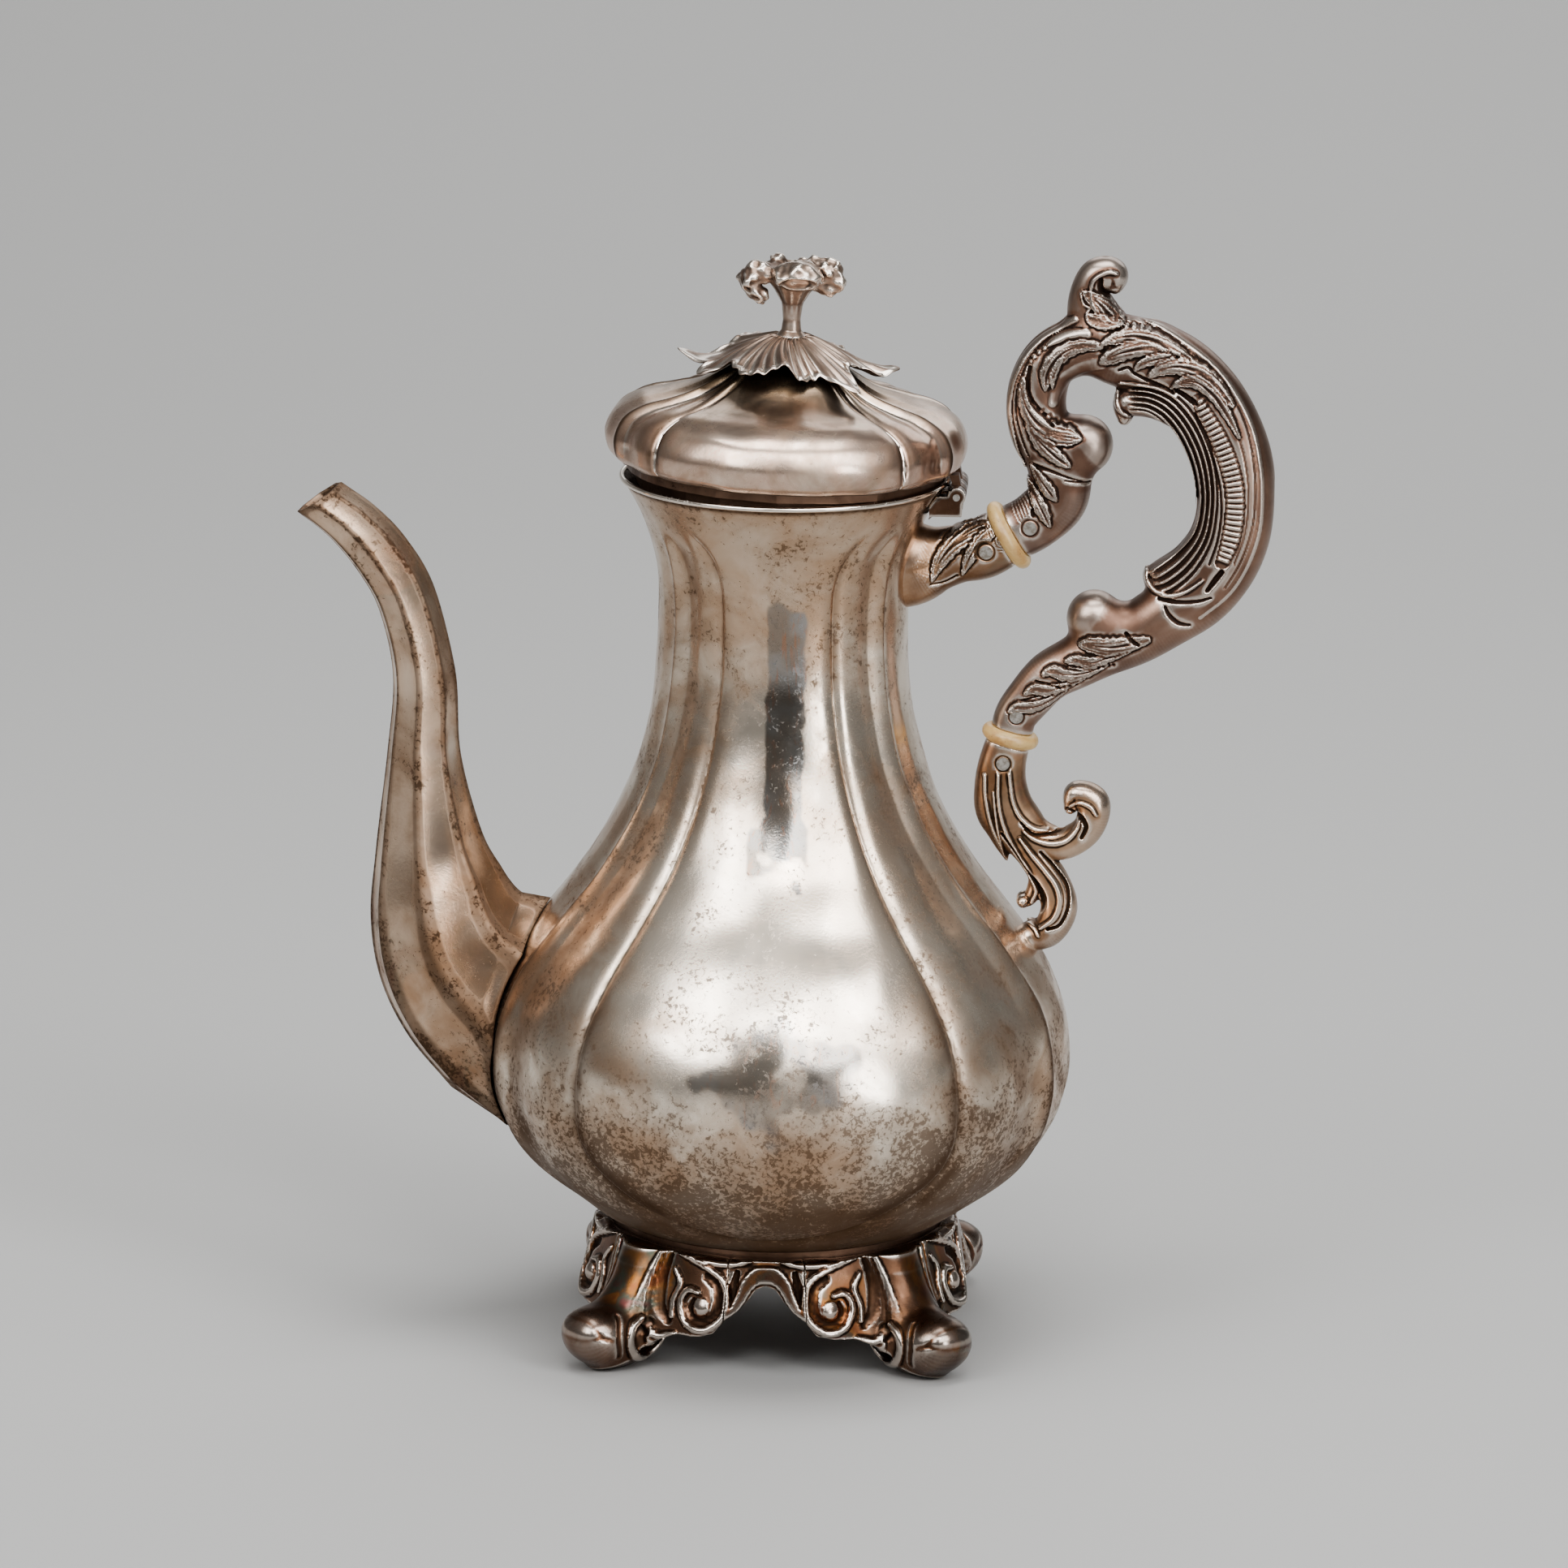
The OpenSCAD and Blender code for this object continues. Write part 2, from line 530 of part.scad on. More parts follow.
// Puts children, made along +Z about the origin, on a ring's middle with Z along its axis.
module on_ring(ring, tilt) {
    translate([ring[0], 0, ring[1]]) rotate([0, 90 - tilt, 0]) children();
}
module insulator(d) {
    half = ring_t / 2;
    color(ivory) difference() {
        rotate_extrude() union() {
            polygon([[0, -half - tenon_l], [tenon_d / 2, -half - tenon_l], [tenon_d / 2, half + tenon_l],
                     [0, half + tenon_l]]);
            polygon([[0, -half], [d / 2 - half, -half], [d / 2 - half, half], [0, half]]);
            translate([d / 2 - half, 0]) circle(r = half, $fn = 32);
        }
        for (s = [-1, 1]) translate([0, 0, s * (half + tenon_l / 2)]) rotate([90, 0, 0])
            cylinder(h = d * 2, d = cross_pin_d + 2 * slip, center = true);
    }
}
module upper_insulator() {
    on_ring(upper_ring, upper_ring_tilt) insulator(upper_ring_d);
}
module lower_insulator() {
    on_ring(lower_ring, lower_ring_tilt) insulator(lower_ring_d);
}
// Bores for a tenon and its cross pin, on one side (s) of a ring. Their flats clear the round
// tenon and pin by slip.
module tenon_bore(s) {
    sides = 16;
    widen = 1 / cos(180 / sides);
    translate([0, 0, s * ring_t / 2]) mirror([0, 0, s < 0 ? 1 : 0]) {
        translate([0, 0, -1])
            cylinder(h = tenon_l + 1 + slip * 4, d = (tenon_d + 2 * slip) * widen, $fn = sides);
        translate([0, 0, tenon_l / 2]) rotate([90, 0, 0])
            cylinder(h = 40, d = (cross_pin_d + 2 * slip) * widen, center = true, $fn = sides);
    }
}
// Cross pin on one side of a ring, with half length l.
module cross_pin(s, l) {
    color(steel) translate([0, 0, s * (ring_t + tenon_l) / 2]) rotate([90, 0, 0])
        cylinder(h = 2 * l, d = cross_pin_d, center = true);
}
upper_half_t = 6;      // half depth of the handle and socket at the upper ring
lower_half_t = 4.9;    // and at the lower ring
module upper_socket_pin() {
    on_ring(upper_ring, upper_ring_tilt) cross_pin(-1, upper_half_t + 0.3);
}
module upper_grip_pin() {
    on_ring(upper_ring, upper_ring_tilt) cross_pin(1, upper_half_t + 0.3);
}
module lower_grip_pin() {
    on_ring(lower_ring, lower_ring_tilt) cross_pin(1, lower_half_t + 0.3);
}
module lower_socket_pin() {
    on_ring(lower_ring, lower_ring_tilt) cross_pin(-1, lower_half_t + 0.3);
}

half_ring = ring_t / 2;
// Rings that close a casting on the body's skin: an oval of half width b and half height a
// about height z, filled inwards so that it follows the skin.
function footing(z, a, b, sides) = [for (share = [1, 0.66, 0.33]) [for (i = [0:sides - 1])
    let (y = sin(360 * i / sides) * b * share, zz = z + cos(360 * i / sides) * a * share)
        [body_x(y, zz), y, zz]]];

module upper_socket() {
    z = upper_ring[1];
    root_x = body_r(z - 8);
    sides = 16;
    color(cast_silver) casting() difference() {
        skin(concat(
            reversed(footing(z - 9, 13, 10, sides)),
            sweep_rings([[root_x + 1.6, z - 8, 9.6, 8], [root_x + 4.6, z - 6, 7.6, 6.8],
                         beyond(upper_ring, upper_axis, -half_ring - 5, 6.7, upper_half_t),
                         beyond(upper_ring, upper_axis, -half_ring, 6.6, upper_half_t)], 2, sides)));
        on_ring(upper_ring, upper_ring_tilt) tenon_bore(-1);
    }
}

module lower_socket_members() {
    root_z = belly_z + 28;
    x = lower_ring[0];
    z = lower_ring[1];
    union() {
        // stem from the ring, swelling and running down to the body
        skin(concat(
            sweep_rings([beyond(lower_ring, lower_axis, -half_ring, 5, lower_half_t),
                         beyond(lower_ring, lower_axis, -half_ring - 5, 5.4, lower_half_t),
                         [x - 2, z - 12, 6, 5.2], [x - 0.8, z - 17.5, 6.6, 5.2],
                         [x + 3.4, z - 22.5, 5.6, 4.6], [x + 6.6, z - 28.6, 3.9, 4.2],
                         [x + 10, z - 34, 4, 4.2], [x + 11.8, z - 40, 4.2, 4.2],
                         [x + 9.6, z - 45.2, 3.8, 4.4]], 2, 12),
            reversed([for (r = footing(root_z, 3.4, 5, 12)) [for (p = r) p]])));
        // curl towards the handle's side
        sweep([[x + 1.5, z - 20, 2.5, 3.6], [x + 5.4, z - 23, 4, 4.2], [x + 12, z - 25, 3.7, 4.2],
               [x + 17.8, z - 21.6, 3.5, 4.2], [x + 19.2, z - 15.6, 3.8, 4.4],
               [x + 15.4, z - 13.4, 3, 3.6], [x + 14, z - 16.4, 1.6, 2.4]], steps = 2, sides = 10);
        // leaf tip that hangs beside the body, and the small bud below it
        sweep([[x - 3, z - 16, 3.2, 3.6], [x - 2, z - 23, 2.4, 2.8], [x - 0.4, z - 28.8, 0.5, 0.8]],
              steps = 2, sides = 8);
        sweep([[x + 5, z - 29, 2, 2.8], [x + 6.6, z - 33, 1.9, 2.6], [x + 5.4, z - 37.5, 1.7, 2.4],
               [x + 3.6, z - 38.8, 1.5, 2.2]], steps = 2, sides = 8);
    }
}
module lower_socket() {
    color(cast_silver) casting() difference() {
        lower_socket_members();
        on_ring(lower_ring, lower_ring_tilt) tenon_bore(-1);
    }
}

// The grip: scroll after scroll, each a sweep that bites into the next.
module grip_members() {
    x = upper_ring[0];
    z = upper_ring[1];
    u = scroll_reach - 50.3;        // what the reach adds to the big scroll
    w = thumb_h - 63.9;             // what the height adds to the thumb scroll
    t = scroll_half_t;
    union() {
        // neck of the handle, up from the upper ring and over into the big scroll
        sweep([beyond(upper_ring, upper_axis, half_ring, 6.4, upper_half_t),
               beyond(upper_ring, upper_axis, half_ring + 5, 6.5, upper_half_t),
               [x + 10.6, z + 8.2, 6.8, 6.2], [x + 11.4, z + 13.6, 7, t * 0.9],
               [x + 9.8, z + 20.4, 7.2, t * 0.9], [x + 6.4, z + 26, 6.8, t * 0.9],
               [x + 6, z + 33.6, 6.6, t * 0.86], [x + 9.2, z + 40.4, 6.2, t * 0.86],
               [x + 17, z + 43.9, 6.6, t * 0.9], [x + 27.5, z + 43, 7.8, t],
               [x + 35.6 + u, z + 39.4, 8.2, t], [x + 42.7 + u, z + 33, 8.3, t],
               [x + 47.6 + u, z + 25, 8.3, t], [x + 50.3 + u, z + 16.8, 8.3, t],
               [x + 50.6 + u, z + 8.4, 8.3, t], [x + 49.6 + u, z + 0.8, 8.4, t],
               [x + 46.6 + u, z - 6.2, 8.4, t], [x + 41.8 + u, z - 12.6, 8, t],
               [x + 35.8, z - 17.8, 7.4, t], [x + 29, z - 22.2, 7, t * 0.94],
               [x + 21.6, z - 25.6, 6.6, t * 0.9],
               [lower_ring[0] + 14.4, lower_ring[1] + 17.4, 6, t * 0.84],
               [lower_ring[0] + 8.6, lower_ring[1] + 14, 5.6, t * 0.78],
               [lower_ring[0] + 3.9, lower_ring[1] + 8.6, 5.2, lower_half_t + 0.2],
               beyond(lower_ring, lower_axis, half_ring + 3.4, 4.9, lower_half_t),
               beyond(lower_ring, lower_axis, half_ring, 4.8, lower_half_t)],
              steps = 2, sides = 12);
        // fluted inner scroll with turned-in tips
        sweep([[x + 25.6, z + 27.6, 1.6, 3], [x + 26.4, z + 31.3, 3.2, 4.6],
               [x + 32 + u, z + 31, 3.4, t * 0.8], [x + 38.3 + u, z + 27.6, 3.6, t * 0.8],
               [x + 43 + u, z + 19.6, 3.4, t * 0.8], [x + 45 + u, z + 10.2, 3.2, t * 0.8],
               [x + 44.2 + u, z + 2.6, 3.4, t * 0.8], [x + 40.2 + u, z - 4.6, 3.7, t * 0.8],
               [x + 34.6, z - 8.6, 3.4, t * 0.7], [x + 32.2, z - 8.4, 1.8, 3]],
              steps = 1, sides = 10);
        // thumb scroll
        sweep([[x + 24, z + 42, 6.6, t * 0.8], [x + 20.2, z + 46, 6.4, t * 0.8],
               [x + 17.9, z + 51.6 + w, 5.6, t * 0.74], [x + 17.2, z + 56.6 + w, 4.2, t * 0.66],
               [x + 18.9, z + 60.1 + w, 3.9, t * 0.66], [x + 22, z + 60.3 + w, 3.8, t * 0.66],
               [x + 22.8, z + 58.2 + w, 2.2, t * 0.5]], steps = 2, sides = 12);
        // round volutes above and below the finger opening
        translate([x + 15.6, 0, z + 21.2]) volute(6.4, t * 0.98);
        translate([x + 20.2, 0, z - 18.7]) volute(6.7, t * 0.97);
    }
}
module handle_grip() {
    color(cast_silver) casting() difference() {
        grip_members();
        on_ring(upper_ring, upper_ring_tilt) tenon_bore(1);
        on_ring(lower_ring, lower_ring_tilt) tenon_bore(1);
    }
}
// Flattened ball of radius r and half depth b.
module volute(r, b) {
    skin([for (k = [0:6]) let (a = -80 + 160 * k / 6)
        [for (i = [0:11]) [r * cos(a) * cos(30 * i), b * sin(a), r * cos(a) * sin(30 * i)]]]);
}

// ---------- collar, feet and aprons ----------

skirt_top = seat_z - 1.2;
module foot_collar() {
    low = skirt_top - 3;
    color(dark_silver) difference() {
        translate([0, 0, low]) cylinder(h = seat_z - disc_t - low, r = collar_r);
        translate([0, 0, low - 1]) cylinder(h = 10, r = collar_r - 3.4);
    }
}

// Outer radius of the cast skirt at height z and a degrees from a foot's middle.
function skirt_r(z, a) = let (
        down = skirt_top - z,
        spine = exp(-pow(a / 9, 2)),
        hollow = exp(-pow((abs(a) - 18) / 6, 2)))
    collar_r + skirt_t + touch + 0.22 * down + spine * (1.6 + 0.012 * down * down) * min(1, down / 4)
    - hollow * 0.9 * min(1, down / 6);
// Lower edge of the skirt at a degrees from a foot's middle, up to the middle of the apron.
skirt_edge = [[0, 2.6], [8, 3.6], [12, 7.2], [18, 10.6], [25, 11], [30, 12.6],
              [33, 15], [36, 15.6], [39, 18.4], [42, arch_z - 0.8], [45, arch_z]];
// Points of the skirt down one upright line, moved inwards by inset.
function skirt_column(a, inset) = let (edge = graph(skirt_edge, abs(a)))
    [for (k = [0:5]) let (z = lerp(skirt_top, edge, k / 5), r = skirt_r(z, a) - inset)
        [r * cos(a), r * sin(a), z]];
// Patch of the skirt through a list of angles from a foot's middle.
module skirt_patch(angles) {
    skin([for (a = angles) concat(skirt_column(a, skirt_t), reversed(skirt_column(a, 0)))]);
}

module foot(at) {
    h = foot_half_angle;
    color(dark_silver) rotate(at) casting() {
        skirt_patch([-h, -28, -22, -16, -10, -5, 0, 5, 10, 16, 22, 28, h]);
        skin(grounded(sweep_rings([[collar_r + 4.4, 15.4, 1.6, 2.4], [toe_reach - 16, 10, 4, 5.2],
                     [toe_reach - 11.4, 6, 7.4, 6.8], [toe_reach - 6.8, 5.6, 7, 7],
                     [toe_reach - 3, 6, 4.8, 6], [toe_reach - 0.8, 6.6, 3, 4],
                     [toe_reach, 6.8, 1, 1.6]], 2, 12)));
    }
}
// Rings with what would lie under the table pressed flat onto it.
function grounded(rings) = [for (r = rings) [for (p = r) [p[0], p[1], max(p[2], 0)]]];
module apron(at) {
    h = 45 - foot_half_angle;
    color(dark_silver) rotate(at - 45) skirt_patch([for (k = [-4:4]) 45 + h * k / 4]);
}
module foot_front_left() { foot(-135); }
module foot_front_right() { foot(-45); }
module foot_back_right() { foot(45); }
module foot_back_left() { foot(135); }
module apron_front() { apron(-90); }
module apron_right() { apron(0); }
module apron_back() { apron(90); }
module apron_left() { apron(180); }

body_shell();
bottom_disc();
mouth_wire();
spout();
foot_collar();
foot_front_left();
foot_front_right();
foot_back_right();
foot_back_left();
apron_front();
apron_right();
apron_back();
apron_left();
hinge_bracket();
hinge_pin();
upper_socket();
lower_socket();
handle_grip();
upper_insulator();
lower_insulator();
upper_socket_pin();
upper_grip_pin();
lower_grip_pin();
lower_socket_pin();
lid_shell();
lid_bezel();
lid_hinge_leaf();
finial_leaf();
finial_blossom();
finial_stud();
finial_washer();
finial_nut();
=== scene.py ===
"""Looks of the silver coffee pot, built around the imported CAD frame.

Shapes are worked out in millimetres with numpy and turned into meshes in metres. Castings are
signed fields, negative inside, sampled on a grid, with their ornament as height maps of the XZ plane.
"""
import math
import re
from functools import reduce

import bpy
import numpy as np
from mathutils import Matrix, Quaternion, Vector


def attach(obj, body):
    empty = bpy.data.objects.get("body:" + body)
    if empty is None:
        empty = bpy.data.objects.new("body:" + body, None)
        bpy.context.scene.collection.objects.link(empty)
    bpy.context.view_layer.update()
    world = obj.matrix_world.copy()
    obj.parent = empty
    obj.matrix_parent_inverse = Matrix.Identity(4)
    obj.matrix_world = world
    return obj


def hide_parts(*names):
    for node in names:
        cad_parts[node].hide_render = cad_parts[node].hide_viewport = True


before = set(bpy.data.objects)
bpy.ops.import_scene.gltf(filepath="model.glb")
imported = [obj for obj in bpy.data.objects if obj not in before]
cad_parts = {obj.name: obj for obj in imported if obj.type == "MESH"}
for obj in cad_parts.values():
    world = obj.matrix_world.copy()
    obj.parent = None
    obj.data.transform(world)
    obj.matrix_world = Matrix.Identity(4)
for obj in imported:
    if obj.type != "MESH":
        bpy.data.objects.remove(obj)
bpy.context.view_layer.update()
MM = 0.001

# --- camera

PHOTO_WIDTH, FOCAL, SIDEWAYS = 1932, 12250, 3.4  # pixels
CAMERA_AWAY, CAMERA_HEIGHT = 2.2, 0.6676  # metres


def place_in_scene(name, data):
    obj = bpy.data.objects.new(name, data)
    bpy.context.scene.collection.objects.link(obj)
    return obj


def make_camera():
    cam = bpy.data.cameras.new("camera")
    obj = place_in_scene("camera", cam)
    turn, pitch, roll = map(math.radians, (3, 13.77, -0.65))
    obj.location = (CAMERA_AWAY * math.sin(turn), -CAMERA_AWAY * math.cos(turn), CAMERA_HEIGHT)
    look = Vector((-math.sin(turn) * math.cos(pitch), math.cos(turn) * math.cos(pitch), -math.sin(pitch)))
    obj.rotation_mode = "QUATERNION"
    obj.rotation_quaternion = Quaternion(look, roll) @ look.to_track_quat("-Z", "Y")
    cam.sensor_width = 36
    cam.lens = FOCAL / PHOTO_WIDTH * 36
    cam.shift_x = SIDEWAYS / PHOTO_WIDTH
    cam.clip_end = 20
    bpy.context.scene.camera = obj


make_camera()

# --- small maths


def ease(t):
    t = np.clip(t, 0, 1)
    return t * t * (3 - 2 * t)


def lerp(a, b, t):
    return a + (b - a) * t


def bezier(p, t):
    p = np.asarray(p, float)
    t = np.asarray(t, float)[:, None]
    return (1 - t) ** 3 * p[0] + 3 * (1 - t) ** 2 * t * p[1] + 3 * (1 - t) * t * t * p[2] + t ** 3 * p[3]


def spline(points, steps):
    """Curve through all the points, with so many samples for each span."""
    p = np.asarray(points, float)
    q = np.vstack([2 * p[0] - p[1], p, 2 * p[-1] - p[-2]])
    t = (np.arange(steps) / steps)[:, None]
    out = []
    for i in range(len(p) - 1):
        a, b, c, d = q[i:i + 4]
        out.append(b + 0.5 * ((c - a) * t + (2 * a - 5 * b + 4 * c - d) * t * t
                              + (3 * b - a - 3 * c + d) * t ** 3))
    return np.vstack(out + [p[-1:]])


def wobble(p, scale, seed, waves=14):
    """Smooth noise of about unit size over points p, with features of that scale in mm."""
    rng = np.random.RandomState(seed)
    out = np.zeros(p.shape[:-1], np.float32)
    for _ in range(waves):
        d = rng.normal(size=3)
        d /= np.linalg.norm(d)
        k = 2 * np.pi / scale * rng.uniform(0.6, 1.5)
        out += np.sin((p @ (d * k)).astype(np.float32) + rng.uniform(0, 6.28)).astype(np.float32)
    return out * math.sqrt(2 / waves)


def around(r, degrees, z):
    """Points at radius r and height z, turned from the front of the pot towards its handle."""
    a = np.radians(degrees)
    return np.stack([r * np.sin(a), -r * np.cos(a), z], -1)


def numbers(text, *units):
    """Array from rows 'x z a b, x z a b, ...', in so many units to the mm for each column.

    Columns that are left out at a row's end keep their last values."""
    rows = []
    for part in text.split(","):
        row = [float(v) for v in part.split()]
        rows.append(row + rows[-1][len(row):] if rows else row)
    return np.array(rows) / units


# --- meshes


def make_mesh(name, points, faces):
    """Smooth object from points in mm."""
    mesh = bpy.data.meshes.new(name)
    points = np.asarray(points, np.float32) * MM
    faces = np.asarray(faces, np.int32)
    mesh.vertices.add(len(points))
    mesh.vertices.foreach_set("co", points.ravel())
    mesh.loops.add(faces.size)
    mesh.loops.foreach_set("vertex_index", faces.ravel())
    mesh.polygons.add(len(faces))
    mesh.polygons.foreach_set("loop_start", np.arange(0, faces.size, faces.shape[1], dtype=np.int32))
    mesh.update(calc_edges=True)
    mesh.validate()
    mesh.polygons.foreach_set("use_smooth", np.ones(len(mesh.polygons), bool))
    return place_in_scene(name, mesh)


def add_piece(name, points, faces, body, material, node, slot=None, **attributes):
    """Piece that rides on a body in the place of a CAD node.

    Its slot argument is not used."""
    obj = make_mesh(name, points, faces)
    for key, values in attributes.items():
        data = obj.data.attributes.new(key, "FLOAT", "POINT").data
        data.foreach_set("value", np.asarray(values, np.float32))
    obj.data.materials.append(material)
    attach(obj, body)
    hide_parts(node)


def sheet(rows):
    """Points and quads of a grid of rows x columns that closes both ways."""
    n, m = rows.shape[:2]
    i, j = np.meshgrid(np.arange(n), np.arange(m), indexing="ij")
    down, across = (i + 1) % n, (j + 1) % m
    quads = np.stack([i * m + j, i * m + across, down * m + across, down * m + j], -1)
    return rows.reshape(-1, 3), quads.reshape(-1, 4)


def neighbour_mean(values, faces):
    """Mean of each point's neighbours, over the edges of the faces."""
    total = np.zeros_like(values)
    count = np.zeros(len(values))
    for k in range(4):
        a, b = faces[:, k], faces[:, (k + 1) % 4]
        for s, e in ((a, b), (b, a)):
            for axis in range(3):
                total[:, axis] += np.bincount(s, values[e, axis], len(values))
            count += np.bincount(s, minlength=len(values))
    return total / np.maximum(count, 1)[:, None]


def normals_of(points, faces):
    p = points[faces]
    n = np.cross(p[:, 2] - p[:, 0], p[:, 3] - p[:, 1])
    out = np.zeros_like(points)
    for k in range(4):
        for axis in range(3):
            out[:, axis] += np.bincount(faces[:, k], n[:, axis], len(points))
    return out / np.maximum(np.linalg.norm(out, axis=1), 1e-12)[:, None]


def hollowness(points, faces, rounds, unit):
    """How far each point lies below (positive) or above its surroundings, in units of mm."""
    smooth = points.copy()
    for _ in range(rounds):
        smooth = neighbour_mean(smooth, faces)
    return np.clip(((smooth - points) * normals_of(points, faces)).sum(1) / unit, -1, 1)


# --- fields

CUBE = np.array([[i, j, k] for i in (0, 1) for j in (0, 1) for k in (0, 1)])
CUBE_EDGES = [(a, b) for a in range(8) for b in range(a + 1, 8) if np.abs(CUBE[a] - CUBE[b]).sum() == 1]


def surface_net(value, origin, step):
    """Points and quads where the field value changes sign; it is negative inside."""
    inside = value < 0
    cells = np.array(value.shape) - 1
    count = np.zeros(cells, np.int8)
    for c in CUBE:
        count += inside[tuple(slice(o, n + o) for o, n in zip(c, cells))]
    active = (count > 0) & (count < 8)
    cell = np.argwhere(active)
    ids = np.full(active.shape, -1, np.int64)
    ids[active] = np.arange(len(cell))
    corner = np.stack([value[tuple((cell + c).T)] for c in CUBE], 1).astype(float)
    total = np.zeros((len(cell), 3))
    hits = np.zeros(len(cell))
    for a, b in CUBE_EDGES:
        va, vb = corner[:, a], corner[:, b]
        cross = (va < 0) != (vb < 0)
        t = np.where(cross, va / np.where(cross, va - vb, 1), 0)[:, None]
        total += np.where(cross[:, None], CUBE[a] + t * (CUBE[b] - CUBE[a]), 0)
        hits += cross
    points = np.asarray(origin) + step * (cell + total / hits[:, None])
    faces = []
    for axis in range(3):
        u, w = (axis + 1) % 3, (axis + 2) % 3
        ahead, du, dw = np.eye(3, dtype=int)[[axis, u, w]]
        a = inside[tuple(slice(0, n - s) for n, s in zip(value.shape, ahead))]
        b = inside[tuple(slice(s, None) for s in ahead)]
        edge = np.argwhere(a != b)
        edge = edge[((edge[:, [u, w]] > 0) & (edge[:, [u, w]] < cells[[u, w]])).all(1)]
        quad = np.stack([ids[tuple((edge - o).T)] for o in (du * 0, du, du + dw, dw)], 1)
        back = ~a[tuple(edge.T)]
        quad[back] = quad[back][:, ::-1]
        faces.append(quad)
    return points, np.vstack(faces)


def net_mesh(value, origin, step, relax, near, far, unit):
    """Relaxed points and quads of a field's surface, and how hollow it is there, finely and broadly."""
    points, faces = surface_net(value, origin, step)
    points = (1 - relax) * points + relax * neighbour_mean(points, faces)
    hollow = hollowness(points, faces, near, unit) + 0.6 * hollowness(points, faces, far, unit * 5)
    return points, faces, np.clip(hollow, -1, 1)


def field_grid(low, high, step):
    """Axes of a box of samples, as float32 arrays that broadcast, and the origin."""
    axes = [np.arange(a, b + step, step, dtype=np.float32) for a, b in zip(low, high)]
    return axes[0][:, None, None], axes[1][None, :, None], axes[2][None, None, :], np.array(low, float)


def smin(a, b, k):
    """Smooth union of two fields over about k mm."""
    h = np.clip(0.5 + 0.5 * (b - a) / k, 0, 1)
    return b + (a - b) * h - k * h * (1 - h)


def most(*fields):
    """What all the fields have in common."""
    return reduce(np.maximum, fields)


def path_field(stations, X, Z, steps):
    """For points of the XZ plane and a path of [x, z, a, b, ...] stations: signed distance across,
    length along, the other columns at the nearest place of the path, and its whole length."""
    s = spline(stations, steps)
    best = np.full(np.broadcast(X, Z).shape, 1e9)
    side = np.zeros_like(best)
    along = np.zeros_like(best)
    rest = [np.zeros_like(best) for _ in range(s.shape[1] - 2)]
    length = 0.0
    for p, q in zip(s[:-1], s[1:]):
        d = q[:2] - p[:2]
        size = max(float(np.hypot(*d)), 1e-9)
        rx, rz = X - p[0], Z - p[1]
        t = np.clip((rx * d[0] + rz * d[1]) / size ** 2, 0, 1)
        dist = np.hypot(rx - t * d[0], rz - t * d[1])
        score = dist - lerp(p[2], q[2], t)
        hit = score < best
        best = np.where(hit, score, best)
        side = np.where(hit, dist * np.sign(rx * d[1] - rz * d[0] + 1e-12), side)
        along = np.where(hit, length + t * size, along)
        rest = [np.where(hit, lerp(a, b, t), old) for a, b, old in zip(p[2:], q[2:], rest)]
        length += size
    return side, along, rest, length


def tube(stations, X, Y, Z, power, steps):
    """Field of a rounded bar along a path of (x, z, half width, half depth) stations."""
    side, _, (a, b), _ = path_field(stations, X[:, 0], Z[0], steps)
    side, a, b = (v[:, None, :].astype(Y.dtype) for v in (side, a, b))
    return ((np.abs(side / a) ** power + np.abs(Y / b) ** power) ** (1 / power) - 1) * np.minimum(a, b)


# --- materials


def linear(colour):
    """Linear red, green, blue and 1 from a screen colour such as "b2b2b2"."""
    screen = (int(colour[k:k + 2], 16) / 255 for k in (0, 2, 4))
    return (*(v / 12.92 if v < 0.04045 else ((v + 0.055) / 1.055) ** 2.4 for v in screen), 1)


class Value:
    """A node's output; sums and products of values make math nodes."""

    def __init__(self, nodes, socket):
        self.nodes, self.socket = nodes, socket

    def __add__(self, other):
        return self.nodes.math("ADD", self, other)

    def __sub__(self, other):
        return self.nodes.math("SUBTRACT", self, other)

    def __rsub__(self, other):
        return self.nodes.math("SUBTRACT", other, self)

    def __mul__(self, other):
        return self.nodes.math("MULTIPLY", self, other)


